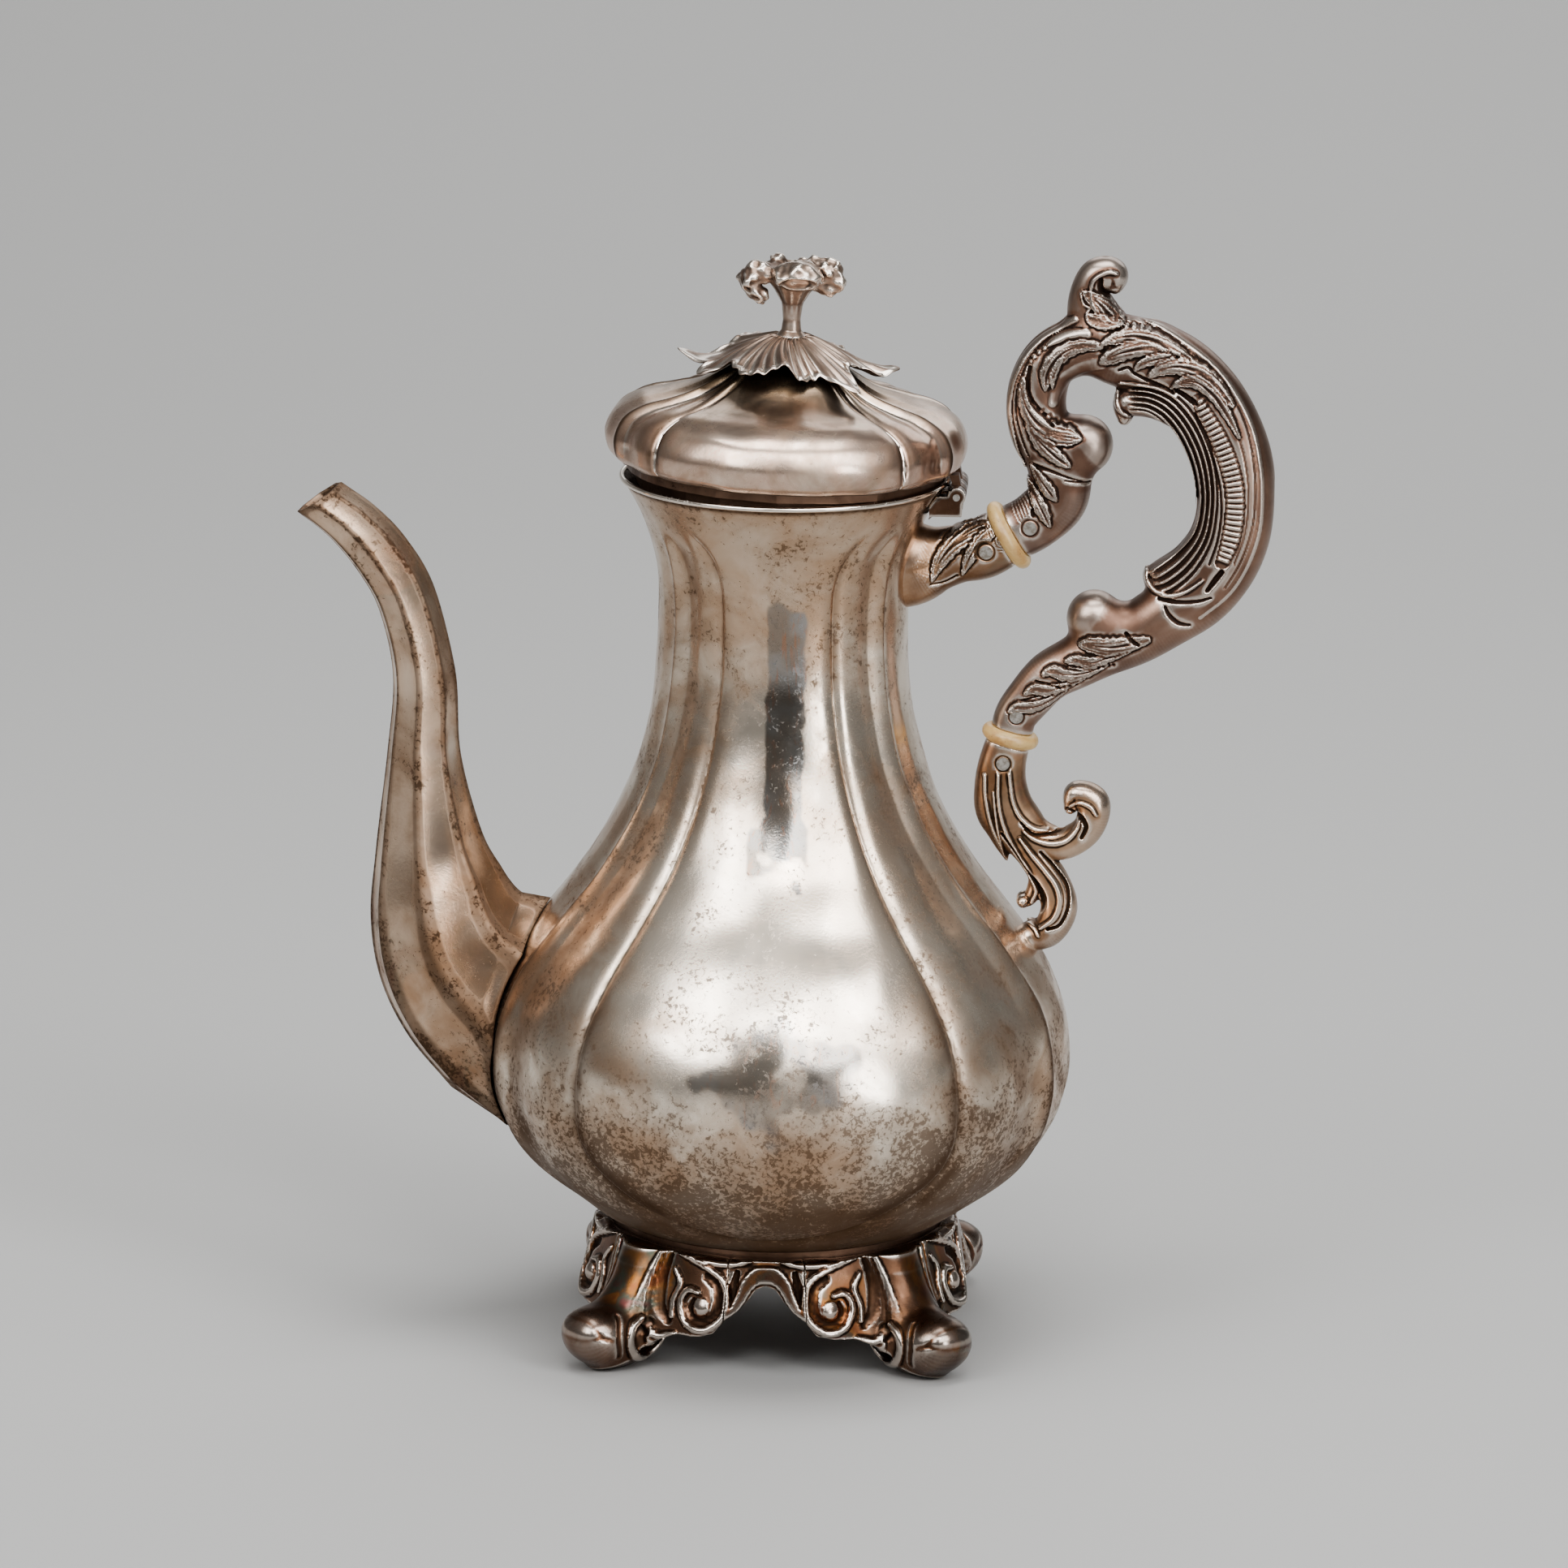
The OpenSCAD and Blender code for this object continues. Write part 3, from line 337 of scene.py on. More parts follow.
class Nodes:
    """Short names for building a node tree."""

    def __init__(self, owner):
        owner.use_nodes = True
        self.tree = owner.node_tree
        self.tree.nodes.clear()

    def add(self, kind, **values):
        node = self.tree.nodes.new("ShaderNode" + kind)
        for key, value in values.items():
            setattr(node, key, value)
        return node

    def feed(self, socket, value):
        """Give a socket an output, a number or vector, or a screen colour."""
        if isinstance(value, Value):
            value = value.socket
        if isinstance(value, bpy.types.NodeSocket):
            self.tree.links.new(value, socket)
        else:
            socket.default_value = linear(value) if isinstance(value, str) else value

    def feed_all(self, node, **values):
        for key, value in values.items():
            self.feed(node.inputs[key.replace("_", " ")], value)
        return node

    def noise(self, vector, scale, detail, rough, distortion=0.0):
        n = self.feed_all(self.add("TexNoise"), Scale=scale, Detail=detail, Roughness=rough,
                          Distortion=distortion, Vector=vector)
        return Value(self, n.outputs["Fac"])

    def math(self, op, a, b, clamp=False):
        n = self.add("Math", operation=op, use_clamp=clamp)
        self.feed(n.inputs[0], a)
        self.feed(n.inputs[1], b)
        return Value(self, n.outputs[0])

    def ramp(self, value, low, high, to_low=0.0, to_high=1.0, shape="SMOOTHSTEP"):
        n = self.feed_all(self.add("MapRange", clamp=True, interpolation_type=shape), Value=value,
                          From_Min=low, From_Max=high, To_Min=to_low, To_Max=to_high)
        return Value(self, n.outputs["Result"])

    def colours(self, value, *stops):
        n = self.feed_all(self.add("ValToRGB"), Fac=value)
        ramp = n.color_ramp
        while len(ramp.elements) < len(stops):
            ramp.elements.new(0.5)
        for e, (at, colour) in zip(ramp.elements, stops):
            e.position = at
            e.color = linear(colour)
        return Value(self, n.outputs["Color"])

    def mix(self, factor, a, b):
        n = self.add("Mix", data_type="RGBA", clamp_factor=True)
        for k, value in ((0, factor), (6, a), (7, b)):
            self.feed(n.inputs[k], value)
        return Value(self, n.outputs[2])

    def attribute(self, name):
        return Value(self, self.add("Attribute", attribute_name=name).outputs["Fac"])

    def place(self, scale=(1, 1, 1)):
        """Object position, stretched."""
        m = self.feed_all(self.add("Mapping"), Scale=scale, Vector=self.add("TexCoord").outputs["Object"])
        return m.outputs["Vector"]

    def upward(self, coordinates="Object"):
        n = self.feed_all(self.add("SeparateXYZ"), Vector=self.add("TexCoord").outputs[coordinates])
        return Value(self, n.outputs["Z"])

    def bump(self, bsdf, height, strength, distance):
        n = self.feed_all(self.add("Bump"), Strength=strength, Distance=distance, Height=height)
        self.feed(bsdf.inputs["Normal"], n.outputs[0])


def principled(name, **values):
    material = bpy.data.materials.new(name)
    n = Nodes(material)
    bsdf = n.feed_all(n.add("BsdfPrincipled"), **values)
    n.feed(n.add("OutputMaterial").inputs[0], bsdf.outputs[0])
    return material, n, bsdf


PALE_EDGE = "f6ece0"


def silver_material(name, clean, warm, tarnish, soot, speckle, low_spots_and_shade, rough, cavity=True, fine=0.0,
                    rainbow=0.0, patch=False, depth=0.93, worn=0.85, upper_tint=None):
    """Old silver: clean metal, a warm film over it, brown tarnish in patches and sooty hollows.

    speckle is how much of the surface the fine dark spots cover, and low_spots_and_shade what they cover
    near the foot, where the metal also darkens, partly real tarnish and partly painted shade. fine
    is the strength of the engraved hatching where the attribute leaf is set, depth that of the soot
    in hollows and worn that of the bright edges. rainbow is how much of the tarnish is coloured,
    patch reads the attributes shine, a painted reflection, and rubbed, a painted highlight that
    clears the film, and gold is a darker, warmer tint that comes in between two heights:
    (from, to, colour)."""
    material, n, bsdf = principled(name, Metallic=1)
    p = n.place()
    middle = n.noise(p, 90, 5, 0.62, 0.6)
    film = n.ramp(n.noise(p, 28, 3, 0.55) * 0.6 + middle * 0.4, 0.36, 0.64)
    if patch:
        # painted highlight: the front of the belly is painted clear of the warm film so that it reads bright
        rubbed = n.attribute("rubbed")
        film = film * (1 - rubbed * 0.6)
    colour = n.mix(film, clean, warm)
    # where the spots gather: patches, more of them low on the pot
    z = n.upward()
    low = n.ramp(z, 0.08, 0.03)
    gather = n.noise(p, 45, 4, 0.65, 1.2) * 0.75 + n.noise(p, 160, 3, 0.6) * 0.25 + low * low_spots_and_shade
    if cavity:
        hollow = n.attribute("hollow")
        gather = gather + hollow * 0.12
    spots = n.ramp(gather * 0.6 + n.noise(p, 900, 5, 0.7, 0.6) * 0.8, 1 - speckle, 1 - speckle + 0.08)
    haze_and_shade = n.ramp(gather, 0.42, 0.68)
    # painted highlight: less tarnish on the front of the belly
    if patch:
        haze_and_shade = haze_and_shade * (1 - rubbed * 0.75)
    # darker towards the foot: partly real tarnish, partly painted shade for the darker floor mirrored low on the
    # pot
    if low_spots_and_shade:
        haze_and_shade = n.math("MAXIMUM", haze_and_shade, low * n.ramp(middle, 0.3, 0.55, 0.6, 1.3))
    colour = n.mix(haze_and_shade * 0.6, colour, tarnish)
    # a darker, warmer tint between two heights
    if upper_tint:
        colour = n.mix(n.ramp(z, upper_tint[0], upper_tint[1], 0.0, 0.7), colour, upper_tint[2])
    colour = n.mix(spots * 0.72, colour, soot)
    roughness = haze_and_shade * 0.14 + rough + spots * 0.25 + (middle - 0.5) * 0.12
    if rainbow:
        hue = n.colours(n.ramp(n.noise(p, 70, 3, 0.5, 1.5), 0.3, 0.7), (0.0, "803e1a"),
                        (0.3, "9c6428"), (0.5, "684e36"), (0.72, "3c5a50"), (1.0, "6e323c"))
        colour = n.mix(n.ramp(n.noise(p, 48, 3, 0.5), 0.48, 0.66) * rainbow, colour, hue)
    # painted reflection: a cold grey with brown streaks over the streak and blot marked on the body, a little
    # smoother
    if patch:
        shine = n.attribute("shine")
        cold = n.mix(n.ramp(n.noise(p, 60, 3, 0.6), 0.42, 0.6), "706860", "7e8284")
        streaks = n.ramp(n.noise(n.place((3, 3, 0.5)), 210, 3, 0.6, 1.0), 0.55, 0.66)
        cold = n.mix(streaks * 0.55, cold, "965c3a")
        colour = n.mix(shine * 0.78, colour, cold)
        roughness = roughness - shine * 0.08
    height = n.noise(p, 1500, 2, 0.5) * 0.3
    if cavity:
        deep = n.ramp(hollow + (middle - 0.5) * 0.35, 0.10, 0.62)
        ridge = n.ramp(hollow, -0.08, -0.5)
        colour = n.mix(deep * depth, colour, soot)
        colour = n.mix(ridge * worn, colour, PALE_EDGE)
        roughness = roughness + deep * 0.25 - ridge * 0.10
    if fine:
        dots = n.feed_all(n.add("TexVoronoi"), Scale=1500, Vector=p).outputs["Distance"]
        dots = n.ramp(dots, 0.2, 0.55) * n.attribute("leaf")
        height = height + dots * -fine
        colour = n.mix(dots * 0.35, colour, soot)
    n.bump(bsdf, height, 0.35, 0.00012)
    n.feed_all(bsdf, Base_Color=colour, Roughness=n.math("MAXIMUM", roughness, 0.08, clamp=True))
    return material


body_silver = silver_material("body_silver", "faeddb", "c8a88c", "785a3f", "422d1c", 0.235, 0.3, 0.2,
                              patch=True, depth=0.85, worn=0.9, upper_tint=(0.13, 0.21, "9c7e62"))
lid_silver = silver_material("lid_silver", "f0dac8", "c4a28e", "86684c", "322418", 0.15, 0.0, 0.21,
                             rainbow=0.15, upper_tint=(0.214, 0.225, "76623c"))
spout_silver = silver_material("spout_silver", "dec2a8", "9e7c60", "70523a", "322216", 0.235, 0.14, 0.22,
                               rainbow=0.2, depth=0.6, worn=0.35)
handle_silver = silver_material("handle_silver", "866857", "5a4236", "5c443a", "1e1612", 0.1, 0.0, 0.36,
                                fine=1.0, worn=0.42)
socket_silver = silver_material("socket_silver", "b08e70", "6e503a", "523a28", "1a120c", 0.14, 0.0, 0.32,
                                fine=1.0, rainbow=0.2, worn=0.5)
finial_silver = silver_material("finial_silver", "b09a8a", "685244", "503c32", "1c1410", 0.12, 0.0, 0.3,
                                worn=0.7)
foot_silver = silver_material("foot_silver", "6e503e", "3c281c", "3e2a1d", "140d09", 0.16, 0.0, 0.27,
                              rainbow=0.42, worn=0.42)
dark_silver = silver_material("dark_silver", "785e4e", "4c372a", "36261c", "160f0b", 0.2, 0.0, 0.4,
                              cavity=False)


def ivory_material():
    material, n, bsdf = principled("ivory", Roughness=0.32, Subsurface_Weight=0.15,
                                   Subsurface_Radius=(0.002, 0.0012, 0.0006))
    p = n.place()
    stain = n.ramp(n.noise(p, 130, 4, 0.6, 1.0), 0.42, 0.7)
    speck = n.ramp(n.noise(p, 700, 3, 0.6), 0.62, 0.72)
    grain = n.noise(n.place((1, 1, 6)), 260, 3, 0.5)
    colour = n.mix(grain, "e8c684", "d8ae66")
    colour = n.mix(stain * 0.7, colour, "ac7436")
    colour = n.mix(speck * 0.7, colour, "6e421e")
    n.feed_all(bsdf, Base_Color=colour)
    n.bump(bsdf, grain, 0.2, 0.0001)
    return material


def steel_material():
    material, n, bsdf = principled("pin_metal", Metallic=1)
    wear = n.noise(n.place(), 900, 4, 0.6)
    n.feed_all(bsdf, Base_Color=n.mix(n.ramp(wear, 0.35, 0.65), "b0aca6", "787066"),
               Roughness=n.ramp(wear, 0.3, 0.7, 0.3, 0.5))
    return material


ivory = ivory_material()
pin_metal = steel_material()

# --- studio

# name, place, size in metres, watts, seen in the metal only: broad cards either side of the camera
LAMPS = [
    ("front_left", (-1.15, -1.2, 1.35), (0.8, 1.2), 12, False),
    ("front_right", (1.2, -1.05, 1.3), (0.6, 1.1), 18, False),
    ("overhead", (0.05, -0.1, 1.7), (1.1, 0.85), 24, False),
    ("front_high", (0.12, -1.2, 1.25), (0.55, 0.35), 6, False),
    ("card_left", (-0.7, -1.4, 1.25), (0.9, 1.15), 22, True),
    ("card_right", (0.62, -1.45, 1.25), (0.9, 1.15), 26, True),
    ("card_low", (1.05, -1.3, 0.3), (0.42, 0.6), 8, True),
    ("behind", (0.3, 1.3, 0.9), (1.4, 0.8), 6, False),
]
LAMP_AIM = Vector((0, 0, 0.11))
ROOM_TINT = (1, 0.985, 0.96, 1)
BACKDROP, BACKDROP_FLOOR = "b2b2b2", "b6b6b5"
# floor in metres: its front edge, where it starts to curve up, the curve's radius, its top and half its width
FLOOR_FROM, FLOOR_TO, FLOOR_CURVE, FLOOR_TOP, FLOOR_HALF = -3.2, 0.9, 1.3, 4.5, 5


def make_studio():
    world = bpy.data.worlds.new("studio")
    bpy.context.scene.world = world
    n = Nodes(world)
    # a pale room that is darker low down, and an even grey behind the pot
    seen = n.feed_all(n.add("Background"), Color=BACKDROP)
    lit = n.feed_all(n.add("Background"), Color=ROOM_TINT,
                     Strength=n.ramp(n.upward("Generated"), -0.3, 0.9, 0.06, 0.36, "LINEAR"))
    mix = n.add("MixShader")
    for socket, value in zip(mix.inputs, (n.add("LightPath").outputs["Is Camera Ray"], lit.outputs[0],
                                          seen.outputs[0])):
        n.feed(socket, value)
    n.feed(n.add("OutputWorld").inputs[0], mix.outputs[0])

    for name, at, size, power, card in LAMPS:
        light = bpy.data.lights.new(name, "AREA")
        light.shape = "RECTANGLE"
        light.size, light.size_y = size
        light.energy = power
        obj = place_in_scene(name, light)
        obj.location = at
        obj.rotation_euler = (LAMP_AIM - Vector(at)).to_track_quat("-Z", "Y").to_euler()
        obj.visible_diffuse = not card

    # floor that curves up into the backdrop
    rows = [(FLOOR_FROM, 0), (FLOOR_TO, 0)]
    rows += [(FLOOR_TO + FLOOR_CURVE * math.sin(a), FLOOR_CURVE - FLOOR_CURVE * math.cos(a))
             for a in np.radians(np.arange(6, 91, 6))]
    rows += [(FLOOR_TO + FLOOR_CURVE, FLOOR_TOP)]
    points = [(side * FLOOR_HALF / MM, y / MM, z / MM) for y, z in rows for side in (-1, 1)]
    faces = [(2 * k, 2 * k + 1, 2 * k + 3, 2 * k + 2) for k in range(len(rows) - 1)]
    floor = make_mesh("floor", points, faces)
    floor.data.materials.append(principled("floor", Base_Color=BACKDROP_FLOOR, Roughness=0.75)[0])


make_studio()

# --- body

SEAT_Z, SEAT_R, BELLY_Z, BELLY_R = 28.4, 37.9, 66.0, 66.9
NECK_Z, NECK_R, MOUTH_Z, MOUTH_R = 168.0, 28.4, 200.0, 37.0
LOBE_TIP_Z, LOBE_ROUND_Z = 33.3, 60  # the lobes end round between these heights
WALL = 1.0
DENT_X, DENT_Z, DENT_R, DENT_DEPTH = 8.5, 70.5, 9.0, 0.5
PROFILE = np.vstack([
    bezier(points, np.linspace(0, 1, 120))[min(k, 1):] for k, points in enumerate([
        [(SEAT_R, SEAT_Z), (BELLY_R - 3, SEAT_Z + 12), (BELLY_R, BELLY_Z - 8), (BELLY_R, BELLY_Z)],
        [(BELLY_R, BELLY_Z), (BELLY_R, BELLY_Z + 36.5), (NECK_R, NECK_Z - 64), (NECK_R, NECK_Z)],
        [(NECK_R, NECK_Z), (NECK_R, NECK_Z + 12.5), (MOUTH_R - 8, MOUTH_Z - 12.5), (MOUTH_R, MOUTH_Z)]])])


def body_r(z):
    return np.interp(z, PROFILE[:, 1], PROFILE[:, 0])


def from_front(phi):
    """Degrees to the middle of the nearest front or back lobe."""
    return np.abs((phi + 90) % 180 - 90)


def section(front, side, low, a_deg, b_deg, c_deg, depth):
    """Offset of a lobed skin, in mm and never outwards.

    front is the angle from the middle of the front lobe and side that from the middle of a side
    lobe; low is 0 above the round ends of the lobes and 1 at their tips. The groove is at a_deg,
    the rib beside it ends at b_deg and the crest of the side lobe is at c_deg."""
    inner = (np.sqrt((front / a_deg) ** 2 + low ** 2) - 1) * a_deg
    outer = (np.sqrt((side / (90 - c_deg)) ** 2 + low ** 2) - 1) * (90 - c_deg)
    # front lobe: round shoulder that drops into the groove
    t = np.clip(1 + inner / 9, 0, 1)
    g = -depth * (1 - np.sqrt(np.clip(1 - t ** 2.6, 0, 1)))
    # band between the groove and the crest of the side lobe: a round rib, then a hollow
    u = np.clip(inner / np.maximum(inner + outer, 1e-6), 0, 1)
    ub = (b_deg - a_deg) / (c_deg - a_deg)
    rib = 0.82 * (0.86 * np.sin(np.pi * np.clip(u / ub / 1.12, 0, 1) ** 0.62) ** 0.75)
    rise = ease((u - ub * 0.8) / (1.02 - ub * 0.8)) ** 1.25
    g = np.where((inner > 0) & (outer > 0), -depth * (1 - rib - rise * (1 - rib)), g)
    # side lobe: a crisp crest, slightly hollow behind it
    v = np.clip(-outer / 12, 0, 1)
    return np.where(outer <= 0, -depth * 0.22 * np.sin(np.pi * v ** 0.6) ** 1.2, g)


def body_offset(phi, z):
    """phi in degrees from the front."""
    f = from_front(phi)
    up = ease((z - BELLY_Z) / (NECK_Z - BELLY_Z))
    top = np.clip((z - 176) / 16, 0, 1.4)
    a, b, c = (lerp(belly, neck, up) + flare * top ** 2
               for belly, neck, flare in ((42.2, 27.2, 11), (63.5, 45.5, 7), (73.2, 56.5, 3)))
    low = np.clip((LOBE_ROUND_Z - z) / (LOBE_ROUND_Z - LOBE_TIP_Z), 0, 1.5)
    depth = 2.9 * (0.4 + 0.6 * body_r(z) / BELLY_R) * ease((193.5 - z) / 9) * ease((z - 29) / 6)
    return section(f, 90 - f, low, a, b, c, depth)


def make_body():
    heights = np.concatenate([np.linspace(SEAT_Z, 40, 46), np.linspace(40, 182, 190)[1:],
                              np.linspace(182, MOUTH_Z, 30)[1:]])
    z, phi = np.meshgrid(heights, np.arange(0, 360, 0.5), indexing="ij")
    r = body_r(z) + body_offset(phi, z)
    q = around(r, phi, z)
    r = r + 0.09 * wobble(q, 17, 3) * ease((195 - z) / 10) - 0.12
    dent = np.hypot(q[..., 0] - DENT_X, q[..., 2] - DENT_Z)
    r = r - DENT_DEPTH * ease((DENT_R - dent) / 6.5) * (q[..., 1] < 0)
    inner = around(r - WALL, phi, z)
    inner[0, :, 2] += 0.6
    points, faces = sheet(np.concatenate([around(r, phi, z), inner[::-1][::3], inner[:1]], 0))
    faces = faces[:, ::-1]
    lobed = np.concatenate([np.clip(-(r - body_r(z)) / 2.6, 0, 1).ravel() * 0.5,
                            np.full(len(points) - r.size, 0.6)])
    # painted reflection, where the front mirrors something cold and dark: a streak up the neck and a blot on the
    # belly
    x, y, z = points.T
    rag = 0.6 * wobble(points, 6, 12, 10)
    upper = ease((z - 126.5 + rag) / 2)
    streak = ease((lerp(7.0, 4.7, upper) - np.abs(x - lerp(1.3, 2.3, upper)) + 0.35 * rag) / 0.8) \
        * ease((176.5 + rag - z) / 1.2) * ease((z - 117 + 4 * rag) / 2)
    blot = ease((1.1 - np.hypot((x - 2) / 15, (z - 76) / 9) + 0.2 * rag + 0.3 * wobble(points, 13, 15)) / 0.35)
    add_piece("body_skin", points, faces, "pot", body_silver, "body_shell",
              hollow=np.maximum(hollowness(points, faces, 10, 0.28), lobed),
              shine=np.maximum(streak, blot * 0.75) * (y < 0),
              # painted highlight: the front of the belly kept clear of tarnish
              rubbed=ease(1.4 - np.hypot((x - 4) / 36, (z - 100) / 34)) * (y < 0))


make_body()

# --- spout

# (x, z) of the outer and inner edge from lip to root, and half the width there
SPOUT_OUTER = [(-110.8, 189.4), (-103.2, 183.2), (-96.6, 175), (-92, 166.2), (-89.1, 152), (-90.4, 134),
               (-93, 111), (-94.2, 95), (-91.9, 80), (-85.4, 66.5), (-75.4, 54.5)]
SPOUT_INNER = [(-100.5, 196.6), (-93, 191.6), (-85.8, 184.2), (-79.1, 172.4), (-74.3, 153.4), (-73, 134),
               (-68.1, 116), (-63.3, 107.4), (-61.3, 104.4), (-59.9, 102.8), (-58.9, 102)]
SPOUT_WIDE = [6.2, 6.5, 6.8, 7.1, 7.5, 8.5, 10.8, 13.9, 16.4, 18.1, 19]
# crests of the fluted section: degrees round it, and share of the full size
SPOUT_CREST = [(0, 0.985), (34, 0.985), (84, 1.0), (130, 1.0), (180, 0.985)]
ROOT_LOW, ROOT_HIGH, ROOT_WIDE, ROOT_ROWS = 43.5, 101.0, 19, 12
SPOUT_SKIN, SPOUT_BORE = 0.03, 0.95  # how far inside the full size


def make_spout():
    steps = 16
    outer, inner = spline(SPOUT_OUTER, steps), spline(SPOUT_INNER, steps)
    wide = spline(np.column_stack([SPOUT_WIDE, SPOUT_WIDE]), steps)[:, 0]
    spans = list(zip(SPOUT_CREST[:-1], SPOUT_CREST[1:]))
    theta = np.concatenate([np.linspace(a[0], b[0], 14, endpoint=False) for a, b in spans] + [[180.0]])
    share = np.zeros_like(theta)
    for a, b in spans:
        inside = (theta >= a[0]) & (theta <= b[0])
        span = b[0] - a[0]
        t = (theta[inside] - a[0]) / span
        chord = math.cos(math.radians(span / 2)) / np.cos(np.radians((t - 0.5) * span))
        share[inside] = lerp(a[1], b[1], t) * lerp(1, chord, 0.8) - 0.035 * np.sin(np.pi * t) ** 0.7
    full = np.radians(np.concatenate([theta, 360 - theta[-2:0:-1]]))
    share = np.concatenate([share, share[-2:0:-1]])
    u, v = np.cos(full) * share, -np.sin(full) * share
    half = np.linalg.norm(outer - inner, axis=1) / 2
    middle = (outer + inner) / 2
    across = (outer - inner) / (2 * half[:, None])

    def rings(wall):
        """Rows of points from the lip to the root, and on to the body."""
        reach = (half - wall)[:, None]
        rows = np.stack([middle[:, :1] + across[:, :1] * reach * u, (wide - wall)[:, None] * v,
                         middle[:, 1:] + across[:, 1:] * reach * u], -1)
        h = (ROOT_HIGH - ROOT_LOW) / 2 - wall
        z = ROOT_LOW + (ROOT_HIGH - ROOT_LOW) / 2 - h * u
        y = (ROOT_WIDE - wall) * v
        root = np.stack([-np.sqrt((body_r(z) + 0.1) ** 2 - y ** 2), y, z], -1)
        joint = [lerp(rows[-1], root, k / ROOT_ROWS) for k in range(1, ROOT_ROWS + 1)]
        return np.concatenate([rows, np.array(joint)], 0)

    skin = rings(SPOUT_SKIN)
    away = skin - skin.mean(1, keepdims=True)
    away /= np.linalg.norm(away, axis=2, keepdims=True)
    lump = 0.12 + 0.03 * wobble(skin, 26, 21)
    skin = skin - away * lump[..., None] * ease(np.arange(len(skin)) / 8)[:, None, None]
    points, faces = sheet(np.concatenate([skin, rings(SPOUT_BORE)[::-1]], 0))
    outside = np.arange(len(points)) < skin.shape[0] * skin.shape[1]
    add_piece("spout_skin", points, faces, "pot", spout_silver, "spout",
              hollow=np.where(outside, hollowness(points, faces, 8, 0.16), 0.6))


make_spout()

# --- lid

HINGE = np.array([39.25, 0, 198.2])
LID_LIFT = math.radians(1.8)
LID_RIM = [(38.3, 202.5), (40.4, 204.7), (41, 208.9), (38.8, 213.5), (34, 216.3), (28, 217.9),
           (20.9, 220.1), (15.6, 223.1), (10.2, 226.6), (4.6, 230)]
LID_EDGE_Z, HUB_Z, HUB_R = 202.5, 229.9, 1.6


def seated(points):
    """Turn points with the lid, which rests a little open."""
    p = np.asarray(points, float) - HINGE
    c, s = math.cos(LID_LIFT), math.sin(LID_LIFT)
    q = p.copy()
    q[..., 0] = p[..., 0] * c + p[..., 2] * s
    q[..., 2] = -p[..., 0] * s + p[..., 2] * c
    return q + HINGE


def make_lid():
    rim = spline(LID_RIM, 18)
    turn = np.arange(0, 360, 0.6)
    r0, phi = np.meshgrid(rim[:, 0], turn, indexing="ij")
    z = np.repeat(rim[:, 1][:, None], len(turn), 1)
    f = from_front(phi)
    depth = 2.5 * ease((r0 - 7.5) / 10) * (0.25 + 0.75 * ease((z - LID_EDGE_Z) / 5))
    g = section(f, 90 - f, 0 * f, 45.0, 62.0, 69.0, depth)
    # the offset acts across the sheet: inwards at the rim, down on the dome
    d = np.gradient(rim, axis=0)
    d /= np.linalg.norm(d, axis=1, keepdims=True)
    out_r, out_z = d[:, 1][:, None], -d[:, 0][:, None]
    r, z = r0 + g * out_r, z + g * out_z * 0.8
    lump = 0.07 * wobble(around(r, phi, z), 14, 5) - 0.1
    r, z = r + lump * out_r, z + lump * out_z
    inner = around(np.maximum(r - WALL * out_r, 2.2), phi, np.maximum(z - WALL * out_z, LID_EDGE_Z))
    hub = around(HUB_R, turn, np.full(len(turn), HUB_Z))[None]
    rows = np.concatenate([around(r, phi, z), hub, hub - [0, 0, WALL], inner[::-1][::2], inner[:1]], 0)
    points, faces = sheet(seated(rows))
    faces = faces[:, ::-1]
    add_piece("lid_skin", points, faces, "lid", lid_silver, "lid_shell",
              hollow=hollowness(points, faces, 8, 0.22))


make_lid()

# --- castings with ornament


